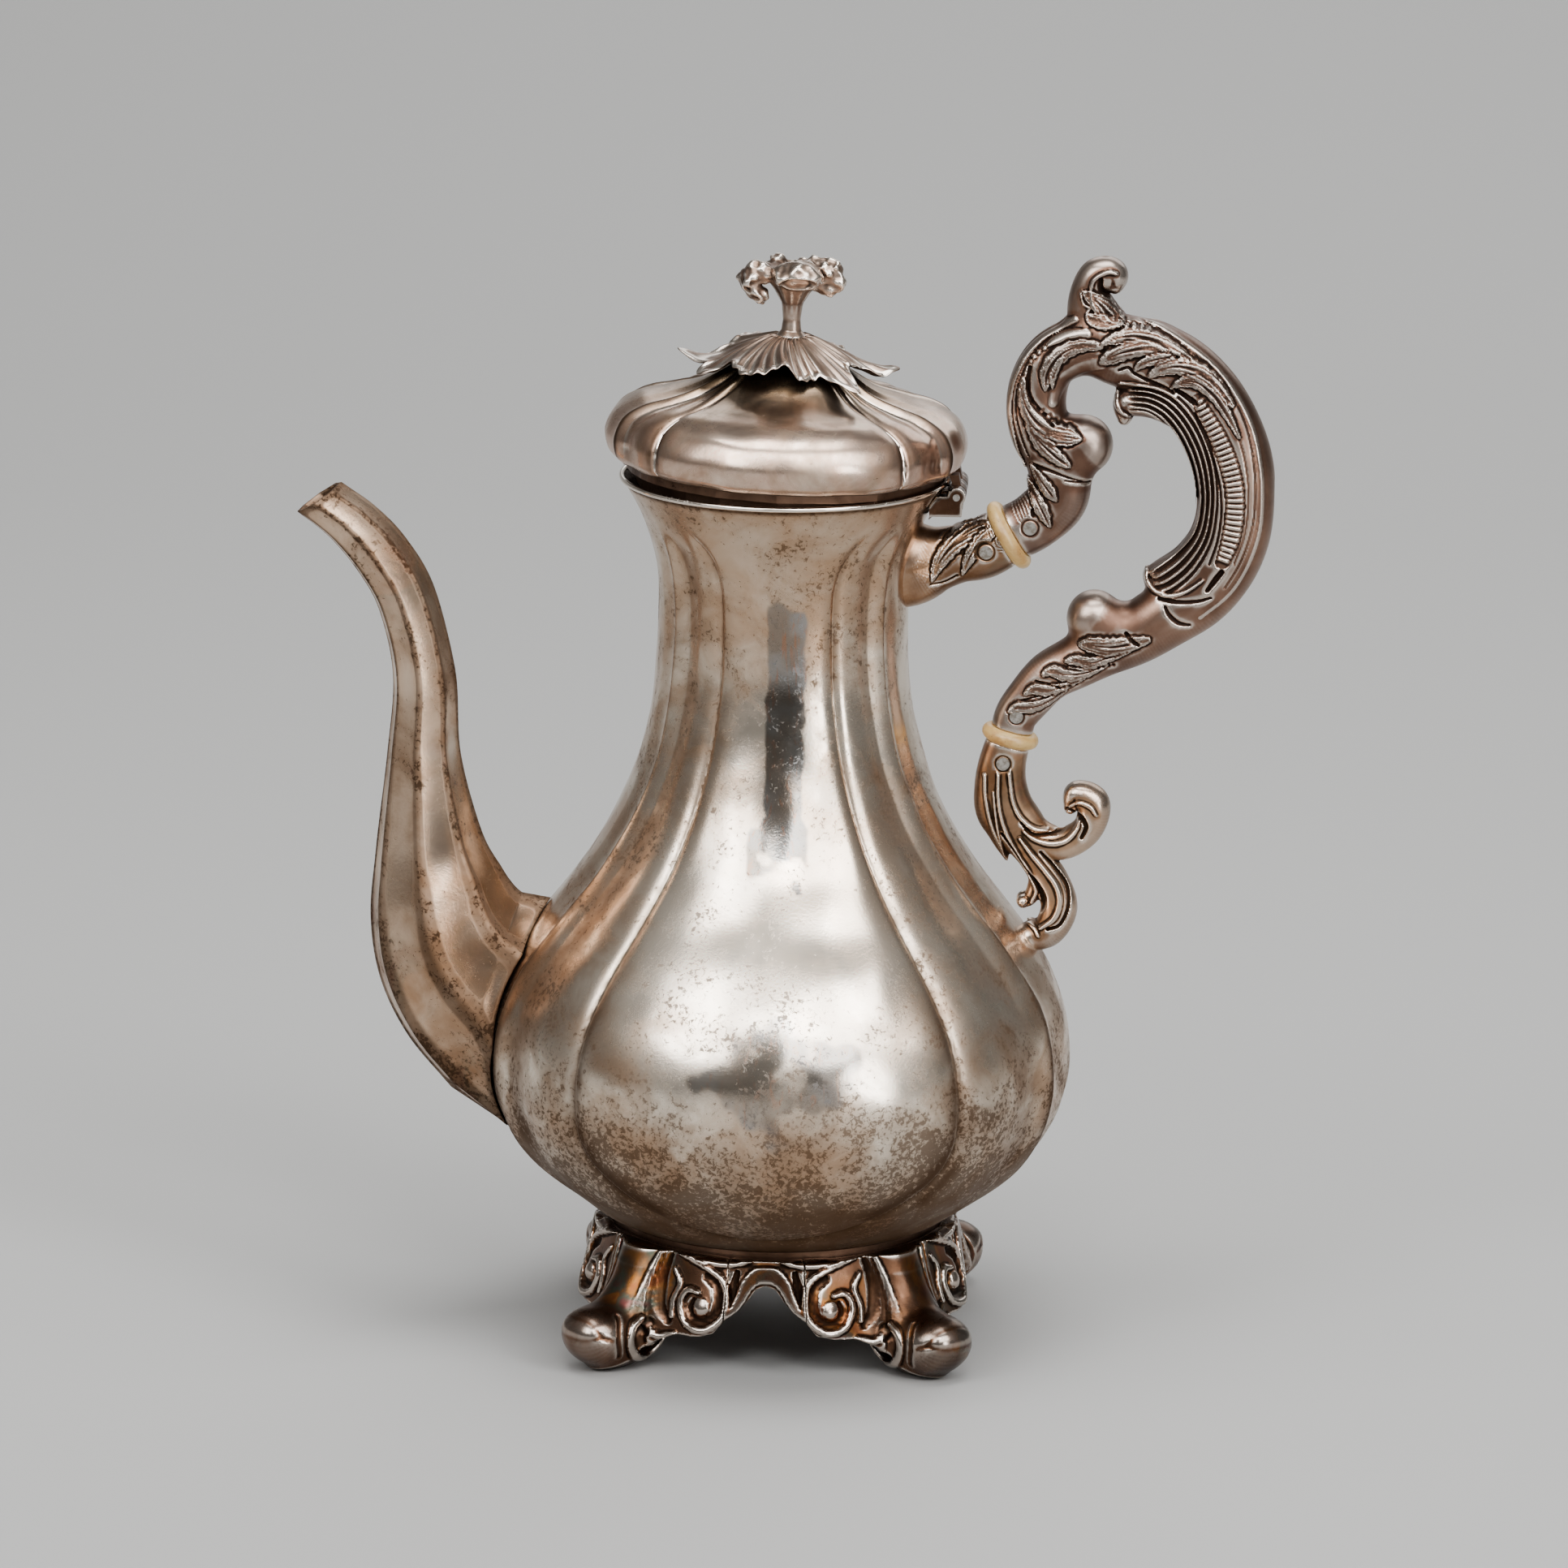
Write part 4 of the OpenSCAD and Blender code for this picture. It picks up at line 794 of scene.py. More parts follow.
class Relief:
    """Ornament laid over the XZ plane as a height in mm, with a second map for engraved leaves."""

    def __init__(self, low, high, step, ornament):
        self.low, self.step = np.array(low, float), step
        self.x, self.z = (np.arange(a, b + step, step, dtype=np.float32) for a, b in zip(low, high))
        self.height = np.zeros((len(self.x), len(self.z)))
        self.leaf = np.zeros_like(self.height)
        # a row is a kind, numbers for lay(), a bar and the points; it ends where the next kind begins
        for kind, row in re.findall("([a-z]+)([^a-z]+)", ornament):
            given, points = row.split("|")
            lay = self.dots if kind in ("flat", "beads", "ball") else self.stroke
            lay(kind, numbers(points, 10, 10, 100), *map(float, given.split()))

    def window(self, points, margin):
        a = np.floor((points.min(0) - margin - self.low) / self.step).astype(int)
        b = np.ceil((points.max(0) + margin - self.low) / self.step).astype(int) + 1
        i, j = slice(max(a[0], 0), max(b[0], 0)), slice(max(a[1], 0), max(b[1], 0))
        return (i, j), self.x[i][:, None], self.z[j][None, :]

    def cells(self, x, z):
        """Places in the maps of points so far beyond the low corner."""
        return tuple(np.clip((v / self.step).astype(int), 0, n - 1) for v, n in zip((x, z), self.height.shape))

    def dots(self, kind, points, height=0):
        """Points are (x, z, radius): a bed cleared for a pin, beads that each have a ring, or balls."""
        for x, z, r in points:
            w, X, Z = self.window(np.array([(x, z)]), 2 * r)
            d = np.hypot(X - x, Z - z) / r
            h = self.height[w]
            if kind == "flat":
                self.height[w] = h * ease((d - 1) / 0.4) - 0.3 * np.exp(-((d - 0.85) / 0.12) ** 2)
                self.leaf[w] = self.leaf[w] * (d > 1.1)
                continue
            dome = height * np.sqrt(np.clip(1 - d * d, 0, 1))
            ring = 0.3 * abs(height) * np.exp(-((d - 1.15) / 0.2) ** 2) * (kind == "beads")
            top = h + dome if height < 0 or kind == "ball" else np.maximum(h, dome)
            self.height[w] = np.where(d < 1, top, h - ring)

    def stroke(self, kind, points, height, count=0, skew=0):
        """Points are (x, z, half width); count is that of the scallops, gadroons or lines."""
        w, X, Z = self.window(points[:, :2], points[:, 2].max() + 0.6)
        h = self.height[w]
        if 0 in h.shape:
            return
        side, along, (half,), length = path_field(points, X, Z, 5)
        half = np.maximum(half, 0.05)
        t = np.abs(side) / half
        inside = t < 1
        round_top = np.sqrt(np.clip(1 - t * t, 0, 1))
        if kind == "ridge":
            new = np.maximum(h, h * 0.5 + height * round_top)
        elif kind == "band":
            new = np.maximum(h, height * ease((1 - t) / 0.3))
        elif kind == "groove":
            new = h - height * np.clip(1 - t * t, 0, 1)
        elif kind == "gadroons":
            wave = np.abs(np.sin(np.pi * count * along / length)) ** 0.7
            new = height * (wave * (0.35 + 0.65 * round_top) * ease((1 - t) / 0.35) - 0.35)
        elif kind == "flutes":
            waves = height * np.cos(np.pi * count * side / half)
            new = h + waves * ease((1 - t) / 0.2) * ease(along / 3) * ease((length - along) / 3)
        elif kind == "hatch":
            new = h + height * 0.5 * np.cos(2 * np.pi * count * side / half / 2)
            self.leaf[w] = np.where(inside, 0.8, self.leaf[w])
        elif kind == "leaf":
            scallop = 1 - 0.13 * (0.5 + 0.5 * np.cos(2 * np.pi * count * along / length)) * (t > 0.5)
            u = np.clip(t / scallop, 0, 1)
            inside = t < scallop
            plate = height * (0.62 + 0.38 * (1 - u * u)) * ease((1 - u) / 0.16)
            lines = 0.10 * np.cos(2 * np.pi * (2.6 * u - 0.25 * count * skew * along / length))
            rim = 0.16 * np.exp(-((u - 0.86) / 0.09) ** 2)
            spine = -0.26 * np.exp(-(side / 0.28) ** 2) * ease(along / length * 6)
            new = np.maximum(h, plate + lines * (u < 0.9) + rim + spine)
            # a fine cut round the leaf
            h = h - 0.22 * np.exp(-((t - scallop - 0.1) / 0.14) ** 2)
            self.leaf[w] = np.where(inside, 1, self.leaf[w])
        self.height[w] = np.where(inside, new, h)


def casting(name, material, node, members, ornament, low, high, trim, step=0.22, blend=1.0):
    """Piece of bars along paths, ornamented on both faces.

    Its box goes from low (x, z) to high (x, half depth, z), and trim(X, y, Z) is a field that it stays in."""
    relief = Relief(low, high[::2], step, ornament)
    X, Y, Z, origin = field_grid((low[0], -2 * step, low[1]), high, step)
    y = np.abs(Y)
    value = reduce(lambda a, b: smin(a, b, blend), (tube(numbers(m, 10), X, y, Z, 2.3, 12) for m in members))
    value = value - relief.height[:, None, :].astype(np.float32) * ease(y / 2.2).astype(np.float32)
    value = np.maximum(value, trim(X, y, Z))
    # the back half mirrors the front one
    value = np.concatenate([value[:, :2:-1], value[:, 2:]], 1)
    origin = origin * [1, 0, 1] + [0, -(Y.size - 3) * step, 0]
    points, faces, hollow = net_mesh(value, origin, step, 0.4, 9, 40, 0.16)
    add_piece(name, points, faces, "pot", material, node, slot="handle_silver", hollow=hollow,
              leaf=relief.leaf[relief.cells(*(points[:, ::2] - relief.low).T)])


def beyond(ring, X, Z):
    """Distance of points beyond the middle of an insulating ring (x, z, slope of its axis in degrees)."""
    x, z, slope = ring
    return (X - x) * math.cos(math.radians(slope)) + (Z - z) * math.sin(math.radians(slope))


UPPER_RING, LOWER_RING, RING_HALF = (50.9, 187.7, 30.5), (52.0, 141.1, 75.5), 1.75
# bars of the castings as rows of x, z, half width and half depth, in tenths of a mm
GRIP = """500 1872 64 60, 524 1886, 567 1911 65, 615 1959 68 62, 623 2013 70 63, 607 2081 72, 573 2137 68,
569 2213 66 60, 601 2281 62, 679 2316 66 63, 784 2307 78 70, 874 2271 82, 945 2207 83, 994 2127, 1021 2045,
1024 1961, 1014 1885 84, 984 1815, 936 1751 80, 867 1699 74, 799 1655 70 66, 725 1621 66 63, 664 1585 60 59,
606 1551 56 55, 559 1497 52 51, 533 1460 49 49, 524 1428 48, 519 1408"""
INNER_SCROLL = """765 2153 16 30, 773 2190 32 46, 838 2187 34 56, 901 2153 36, 948 2073 34, 968 1979 32,
960 1903 34, 920 1831 37, 855 1791 34 49, 831 1793 18 30"""
THUMB = """749 2297 66 56, 711 2337 64, 688 2393 56 52, 681 2443 42 46, 698 2478 39, 729 2480 38, 737 2459 22 35"""
GRIP_BUDS = "645 2065 64 66, 674 2090 67 69", "740 1670 60 64, 706 1690 63 68"
SOCKET_STEM = """519 1410 49 49, 503 1346 54, 500 1291 60 52, 512 1236 66, 554 1186 56 46, 586 1125 39 42,
620 1071 40, 638 1011 42, 616 959 38 44, 575 942 34 46"""
SOCKET_CURL = """535 1211 25 36, 574 1181 40 42, 640 1161 37, 698 1195 35, 712 1255 38 44, 674 1277 30 36,
660 1247 16 24"""
SOCKET_TIP = "490 1251 32 36, 500 1181 24 28, 516 1123 5 8"
SOCKET_BUD = "570 1121 20 28, 586 1081 19 26, 574 1036 17 24, 556 1023 15 22"
UPPER_STEM = "240 1810 110 80, 290 1806 94, 340 1816 74 66, 395 1831 66 61, 451 1843 67 60, 500 1871 66"
# ornament as Relief reads it: kind, height and counts, then x and z in tenths and the half width in hundredths
GRIP_ORNAMENT = """
ridge .55 | 650 2385 80, 616 2365, 580 2343, 548 2310 74, 526 2274, 511 2234, 505 2194, 506 2154, 513 2117 68,
 525 2074 62, 541 2042 49
groove .35 | 666 2367 31, 629 2359, 593 2339, 563 2309, 541 2273, 527 2233, 521 2193, 525 2150, 537 2107,
 552 2069 25
ridge .7 | 677 2356 124, 639 2351, 609 2338 99, 591 2326 49
beads .55 | 583 2319 56, 571 2309, 560 2298, 553 2287 43
leaf .75 7 .5 | 708 2330 111, 667 2329 173, 630 2314 210, 604 2289 223, 590 2258 186, 587 2223 37
leaf 1 4 .4 | 625 2302 37, 614 2283 87, 604 2252, 603 2227 25
ridge .3 | 710 2289 161, 667 2277, 631 2250, 612 2220 148, 605 2195 124
leaf .9 10 .6 | 537 2249 62, 536 2219 124, 545 2186 198, 570 2152 272, 607 2126, 643 2120 223, 671 2116 31
leaf .75 7 .6 | 549 2140 62, 580 2104 210, 611 2077 198, 635 2060 124, 647 2051 25
groove .9 | 552 2274 56, 548 2244, 551 2214, 566 2185 62, 591 2162 56, 606 2144 37
groove .6 | 565 2051 49, 581 2045 62, 605 2039 49, 636 2028 31, 672 2016 19
leaf .8 6 .6 | 559 2050 49, 578 2021 136, 600 1992 173, 617 1972 37
leaf .75 6 .6 | 552 2010 74, 569 1976 161, 588 1942 173, 603 1910 31
hatch .22 7 | 525 1975 186, 539 1956 272, 552 1928 247
groove .7 | 561 1947 25, 565 1926 43, 561 1914 31
ridge .65 | 698 2401 43, 687 2427, 685 2453 49, 691 2475 56, 709 2489, 728 2495, 742 2491 49
groove .8 | 707 2477 62, 706 2457 74, 718 2445 56, 736 2443 43
leaf .55 8 .5 | 667 2449 31, 682 2439 136, 710 2418 247, 731 2393 272, 753 2382 124
leaf .6 6 .5 | 678 2399 37, 689 2388 148, 720 2381 186, 753 2379 87
ridge .5 | 662 2444 25, 669 2421, 683 2412 31, 676 2399, 679 2382, 697 2372, 720 2369 25, 753 2379
leaf .9 10 .7 | 712 2335 49, 739 2347 148, 781 2354 210, 829 2345, 878 2325 136, 921 2296 49
leaf .95 8 .7 | 713 2292 87, 735 2307 210, 770 2321 223, 818 2328 186, 860 2317 87
leaf 1 6 .7 | 787 2276 37, 804 2293 124, 837 2304 148, 867 2310 74
leaf .95 10 .7 | 820 2263 62, 843 2279 161, 882 2288 223, 928 2278, 971 2248 161, 1008 2200 74
leaf .85 9 .7 | 871 2237 49, 895 2253 136, 928 2252 173, 965 2225 161, 996 2182 124, 1025 2127 49
groove .7 | 710 2316 31, 727 2323, 754 2336 19
groove .8 | 752 2275 37, 773 2282 43, 789 2267 49, 819 2252 56, 850 2239 62, 874 2227 49
beads .6 | 767 2373 62, 783 2373, 801 2370 56, 818 2366 49
beads .6 | 873 2307 62, 890 2304, 906 2300 56, 921 2296 49
groove .22 | 751 2424 19, 788 2390, 869 2345, 942 2295, 995 2235, 1036 2163, 1058 2078, 1064 1991, 1058 1917,
 1035 1842, 999 1779
groove .22 | 944 2243 19, 990 2188, 1025 2121, 1043 2048, 1048 1973, 1040 1899, 1019 1836
ridge .25 | 751 2438 37, 803 2394 43, 883 2349 49, 957 2294, 1013 2228 56, 1054 2149, 1074 2064, 1080 1984,
 1075 1909, 1052 1834 49, 1011 1765, 946 1709 43
gadroons .75 31 | 929 2212 136, 945 2182 186, 976 2127 223, 1002 2065 235, 1017 2004, 1018 1942, 1009 1886 223,
 993 1839 161
groove .5 | 924 2180 31, 950 2118, 973 2057, 986 1996, 988 1940, 980 1884, 964 1834
flutes .38 6 | 768 2211 359, 820 2211 384, 866 2189 408, 906 2141, 935 2079 384, 950 2011 346, 950 1948 334,
 936 1892 384, 900 1841 483, 858 1806 520, 831 1792 433
ridge .5 | 755 2241 43, 804 2240 49, 850 2233, 881 2217 43
ridge .5 | 748 2219 56, 746 2196 62, 757 2174 56, 775 2164 37
ridge .6 | 821 1807 49, 824 1786 56, 844 1765 62, 878 1759 56, 914 1771 43, 950 1797 31
groove 1.3 | 877 2235 49, 899 2222 68, 920 2207 74, 926 2203 56
groove 1.3 | 960 1773 49, 977 1797 74, 992 1817 68
groove .8 | 853 1750 49, 896 1745 56, 939 1748 49, 969 1757 31
groove .8 | 866 1734 37, 876 1715 56, 897 1697 62, 922 1692 37
flat | 558.1 1905.9 220, 534.3 1466.2 200
groove .5 | 636 2018 25, 666 2014 31, 690 2011
leaf .7 7 .5 | 517 1477 52, 537 1489 136, 568 1490 157, 604 1503 115, 645 1530 52
leaf .7 7 .5 | 553 1520 52, 573 1533 136, 604 1531 157, 640 1540 115, 686 1560 42
leaf .75 8 .5 | 593 1567 63, 613 1577 146, 644 1570 188, 686 1574 157, 737 1594 52
leaf .75 8 .5 | 645 1601 63, 667 1604 136, 701 1599 157, 737 1611 136, 788 1628 52
leaf .75 9 .5 | 676 1641 73, 700 1641 209, 741 1638 241, 782 1644 209, 828 1656 105
groove .6 | 577 1551 31, 603 1546 26, 634 1537 21
groove .6 | 542 1502 31, 563 1510 26, 588 1517 21
groove .7 | 639 1586 37, 660 1582 31, 680 1580 21
groove .9 | 779 1670 47, 792 1655 58, 808 1644 47
beads -.5 | 627 1540 42, 640 1539, 655 1541, 669 1545 37
beads -.5 | 719 1588 42, 729 1589, 742 1592, 752 1594 37
"""
SOCKET_ORNAMENT = """
ridge .8 | 518 1363 47, 523 1315 52, 531 1268 58, 549 1231 63, 578 1206, 609 1201 42
ridge .8 | 496 1342 47, 496 1289, 503 1236 52, 519 1187 58, 545 1136 63, 572 1093, 585 1055, 575 1027 42
ridge .6 | 464 1328 47, 467 1276, 479 1218, 500 1159 42, 518 1121 26
ridge .5 | 485 1289 26, 491 1235 31, 500 1179, 512 1130 21
ridge .9 | 557 1199 42, 583 1179 63, 620 1170 73, 653 1180, 674 1204 63, 681 1224 42
ridge 1 | 547 1182 42, 574 1145 63, 605 1108 73, 632 1071 78, 640 1034, 628 996 73, 597 972 52
groove 1.1 | 506 1192 31, 529 1158 37, 556 1114 42, 580 1083 52, 601 1047 73, 601 1017, 580 997 52
groove 1 | 549 1220 31, 573 1193 42, 609 1190, 639 1197 52, 659 1222 63, 681 1234, 697 1212, 687 1185 47
groove .9 | 594 1150 31, 631 1106 42, 655 1068 47, 659 1022, 641 980, 613 969 42
ridge .6 | 659 1255 42, 680 1266 52, 706 1258 58, 720 1239 42
groove .8 | 638 1232 52, 654 1249 42, 670 1240 31
ball .9 | 620 1231 136
ball 1.2 | 553 1031 146
flat | 505.7 1355.8 200
ridge .6 | 536 977 31, 560 981 42, 582 971 47, 593 953 42
"""
UPPER_ORNAMENT = """
leaf .7 9 .7 | 339 1781 37, 356 1826 186, 389 1868 247, 430 1894 235, 467 1908 161
leaf .8 8 .7 | 407 1795 37, 423 1836 161, 447 1873 198, 473 1900 148
groove .4 | 336 1773 25, 366 1777 31, 396 1793
hatch .2 6 | 479 1901 186, 492 1872 223
flat | 459.9 1848.1 220
"""


def trim_grip(X, y, Z):
    # the upper ring's plane doesn't cut the rest of the scroll
    above = RING_HALF - beyond(UPPER_RING, X, Z) - 40 * (Z < 170) - 40 * (X > 62)
    return most(above, RING_HALF - beyond(LOWER_RING, X, Z), X - 110.7, Z - 252.1)


def trim_socket(ring, sunk):
    """Up to the ring, and so far into the body."""
    return lambda X, y, Z: most(beyond(ring, X, Z) + RING_HALF, body_r(Z) - sunk - np.hypot(X, y))


casting("handle_cast", handle_silver, "handle_grip", [GRIP, INNER_SCROLL, THUMB, *GRIP_BUDS], GRIP_ORNAMENT,
        (45, 137.5), (112.5, 9.5, 254), trim_grip, step=0.25, blend=2.4)
casting("lower_socket_cast", socket_silver, "lower_socket", [SOCKET_STEM, SOCKET_CURL, SOCKET_TIP, SOCKET_BUD],
        SOCKET_ORNAMENT, (42, 88.5), (77, 8, 142.5), trim_socket(LOWER_RING, 0.6), blend=0.8)
casting("upper_socket_cast", socket_silver, "upper_socket", [UPPER_STEM],
        UPPER_ORNAMENT, (26, 162), (54, 11, 197), trim_socket(UPPER_RING, 1.2))

# --- feet and aprons

SKIRT_TOP, SKIRT_ARC, SKIRT_HALF, SOLE_Z, BASE_R = 27.15, 44.0, 1.15, 0.03, 38.35
# degrees from the foot's middle, and the height of the skirt's lower edge there
EDGE = np.array([(0, 1.0), (8, 3.6), (12, 7.0), (18, 9.4), (25, 9.6), (30, 10.6), (33, 13.6), (36, 15.6),
                 (39, 17.6), (42, 20.7), (45, 21.6)])
# x is the way round from the foot's middle
SKIRT_ORNAMENT = """
ridge 1.1 | 110 280 80, 146 266, 200 249 90, 238 229, 253 199, 252 151, 230 124, 200 112 95, 163 122, 146 149,
 144 176 90, 160 196 85, 186 194 70
groove .7 | 200 228 100, 226 210 120, 233 180, 226 150 110, 204 133 100, 180 136 90, 167 156, 174 174 70
ball .7 | 196 164 200
ridge 1 | 154 272 70, 195 262 80, 256 260 90, 304 272 80
groove .6 | 175 272 70, 225 272 90, 275 272 70
ridge .9 | 74 276 70, 62 230 90, 56 175 100, 64 120, 95 86 90, 135 94 80
groove .6 | 96 265 100, 86 210 130, 92 150 140, 116 120 100
ridge .8 | 116 236 60, 134 206 80, 122 166, 124 132 70
groove .9 | 274 242 80, 269 214 120, 270 188 110, 274 172 60
band .9 | 355 241 230, 325 239, 302 219 190, 289 192 150, 275 166 120, 258 150 90
"""
TOE_ORNAMENT = """
groove .9 | 460 110 160, 484 82 170, 476 49 160, 444 42 150, 412 64 140
ridge 1.1 | 368 104 80, 402 54 100, 444 25 110, 488 33, 510 68, 502 104 100, 474 124 80
ball 2.2 | 454 74 160
groove .25 | 528 130 70, 544 86 90, 536 42 70
"""
LEG = "416 275 20 34, 428 225 25 39, 452 166 36 50, 492 114 48 62, 544 84 46 66"
TOE = "410 82 58 62, 460 70 69 70, 505 69 69 75, 552 82 66 76, 584 96 40 62"


def skirt_field(X, Y, Z, turn, relief):
    """Cast skirt round the pot; turn(angle) gives degrees from the nearest foot's middle."""
    r = np.hypot(X, Y)
    a = turn(np.degrees(np.arctan2(Y, X)))
    down = SKIRT_TOP - Z
    spine = np.exp(-(a / 11) ** 2)
    middle = 39.6 + 0.24 * down + spine * (1.4 + 0.010 * down ** 2) * np.minimum(1, down / 4) \
        + 1.2 * np.exp(-((a - 27) / 7) ** 2) * ease(down / 12)
    h = relief.height[relief.cells(np.radians(a) * SKIRT_ARC, Z)]
    shell = np.maximum(r - middle - SKIRT_HALF - h, middle - SKIRT_HALF - r)
    return most(shell, np.interp(a, EDGE[:, 0], EDGE[:, 1]) - Z, Z - SKIRT_TOP), a


def net_piece(name, value, origin, step, body, material, nodes, turns=(0,), move=None):
    """One mesh of the field, copied to each turn about the pot's axis."""
    points, faces, hollow = net_mesh(value.astype(np.float32), origin, step, 0.45, 8, 36, 0.2)
    for turn, node in zip(turns, nodes):
        c, s = math.cos(math.radians(turn)), math.sin(math.radians(turn))
        q = points @ np.array([[c, s, 0], [-s, c, 0], [0, 0, 1]])
        add_piece(name + "_" + node if len(nodes) > 1 else name, move(q) if move else q, faces, body,
                  material, node, hollow=hollow)


def make_feet():
    step = 0.27
    skirt = Relief((0, 0), (36, 28), 0.2, SKIRT_ORNAMENT)
    toe = Relief((36, -1), (64, 29), step, TOE_ORNAMENT)
    X, Y, Z, origin = field_grid((33, -26, -1), (64, 26, 29), step)
    value, a = skirt_field(X, Y, Z, np.abs, skirt)
    for stations, blend in ((LEG, 5.0), (TOE, 2.2)):
        value = smin(value, tube(numbers(stations, 10), X, Y.astype(float), Z, 2.2, 10), blend)
    h = toe.height[toe.cells(X[:, 0] - toe.low[0], Z[0] - toe.low[1])][:, None, :]
    value = value - h * ease(np.abs(Y) / 2.5) * ease((10 - np.abs(Y)) / 2) * (X > 36)
    r = np.hypot(X, Y)
    value = most(value, np.radians(a - 32.9) * r, Z - SKIRT_TOP, BASE_R - r, SOLE_Z - Z)
    value = value + 0.06 * wobble(np.stack(np.broadcast_arrays(X, Y, Z), -1), 9, 31, 6)
    net_piece("foot", np.maximum(value, SOLE_Z - Z), origin, step, "pot", foot_silver,
              ["foot_front_left", "foot_front_right", "foot_back_right", "foot_back_left"],
              (-135, -45, 45, 135))
    step = 0.25
    X, Y, Z, origin = field_grid((36, -11, 10), (48, 11, 28.5), step)
    value, a = skirt_field(X, Y, Z, lambda v: 45 - np.abs(v), skirt)
    value = np.maximum(value, np.radians(33.1 - a) * np.hypot(X, Y))
    net_piece("apron", value, origin, step, "pot", foot_silver,
              ["apron_front", "apron_right", "apron_back", "apron_left"], (-90, 0, 90, 180))


make_feet()

# --- finial


def sine(degrees):
    return np.sin(np.radians(degrees))


def lobes(a, *table):
    """Sum of bumps over the angle a, from (size, middle in degrees, width) rows."""
    total = 0
    for size, at, width in table:
        total = total + size * np.exp(-(((a - at + 180) % 360 - 180) / width) ** 2)
    return total


def make_leaf():
    turn = np.arange(0, 360, 0.6)
    T, A = np.meshgrid(np.concatenate([[0, 0.04], np.linspace(0.08, 1, 46)]), turn, indexing="ij")
    reach = 15.2 + lobes(A, (10.0, 176, 13), (6.6, 203, 10), (9.3, 2, 12), (8.8, -47, 9), (3.2, -118, 22),
                         (2.0, -80, 9), (1.6, 132, 22)) + 0.35 * np.abs(sine(A * 14)) + 0.2 * sine(A * 37)
    R = lerp(1.75, reach, T)
    share = np.clip((R - 4.6) / 12, 0, 3)
    far = np.clip((R - 15) / 10, 0, 1.3)
    z = 231.3 - 5.5 * share ** 1.1
    z = z + far ** 1.6 * lobes(A, (5.4, 176, 16), (3.2, 2, 14), (-0.6, -47, 12), (0.8, 203, 10))
    z = z + share ** 1.3 * lobes(A, (2.2, 128, 30), (0.9, -92, 7), (-0.9, -66, 7), (-0.9, -75, 12),
                                 (0.9, -110, 16), (-0.6, -150, 10), (0.7, -25, 9), (-1.1, -8, 7),
                                 (-0.8, 25, 12))
    # folds that run outwards and swirl a little
    swirl = A + 26 * T * sine(A + 40)
    z = z + ease(T / 0.12) * (0.20 * sine(swirl * 34) + 0.16 * sine(swirl * 13 + 60)
                              + 0.75 * sine(swirl * 6 + 20) * T ** 1.5)
    z = z + 0.35 * np.exp(-((T - 0.96) / 0.05) ** 2) * (1 + 0.6 * sine(A * 28))
    x, y = R * np.cos(np.radians(A)), R * sine(A)
    top = np.stack([x, y, z], -1)
    thick = 0.95 * np.sqrt(np.clip(1 - T ** 6, 0, 1)) + 0.12
    under = np.stack([x, y, np.maximum(z - thick, 216)], -1)
    top[:1, :, 2] = under[:1, :, 2] + 1.0
    points, faces = sheet(seated(np.concatenate([top, under[::-1]], 0)))
    rim = np.concatenate([ease((T - 0.9) / 0.06), 0 * T]).ravel()
    # painted shade: the whole underside of the leaf is darkened like a hollow
    below = np.concatenate([0 * T, 0.8 * (T < 0.97)]).ravel()
    hollow = np.clip(hollowness(points, faces, 6, 0.14) - 1.2 * rim, -1, 1)
    add_piece("finial_mount", points, faces, "lid", finial_silver, "finial_leaf",
              hollow=np.where(below > 0, below, hollow))


def capsules(X, Y, Z, text):
    """Field of a chain of rounded cones through rows of x y z radius."""
    points = numbers(text, 1)
    out = []
    for p, q in zip(points[:-1], points[1:]):
        d = q[:3] - p[:3]
        t = np.clip(((X - p[0]) * d[0] + (Y - p[1]) * d[1] + (Z - p[2]) * d[2]) / (d @ d), 0, 1)
        out.append(np.sqrt((X - p[0] - t * d[0]) ** 2 + (Y - p[1] - t * d[1]) ** 2 + (Z - p[2] - t * d[2]) ** 2)
                   - lerp(p[3], q[3], t))
    return reduce(np.minimum, out)


def bubble(X, Y, Z, middle, radii):
    """Distance from the middle of an ellipsoid, 1 on its surface."""
    return np.sqrt(sum(((v - m) / r) ** 2 for v, m, r in zip((X, Y, Z), middle, radii)))


PETALS = [
    "-3.5 -1 246.4 2, -6.6 -2 246.8 2.5, -8.4 -2.4 245.2 2.4, -8 -2.2 243 2, -6 -2 241.8",
    "-2.4 3.2 246.5 2.2, -2.6 3.6 248.6 1.7",
    "2.6 0 247 2.3, 6.4 0 248.2 2.1, 9.6 -.4 247.4 2.4, 11.2 -.6 245.4 2",
    "6.6 -.6 244.6 2.1, 9.4 -.8 243.6 1.5",
    "1.5 4.5 246.4 2.4, 3.4 7 246 2.3",
    "-4.5 4 245.8 2.2, -6.5 6 244.4 2",
]


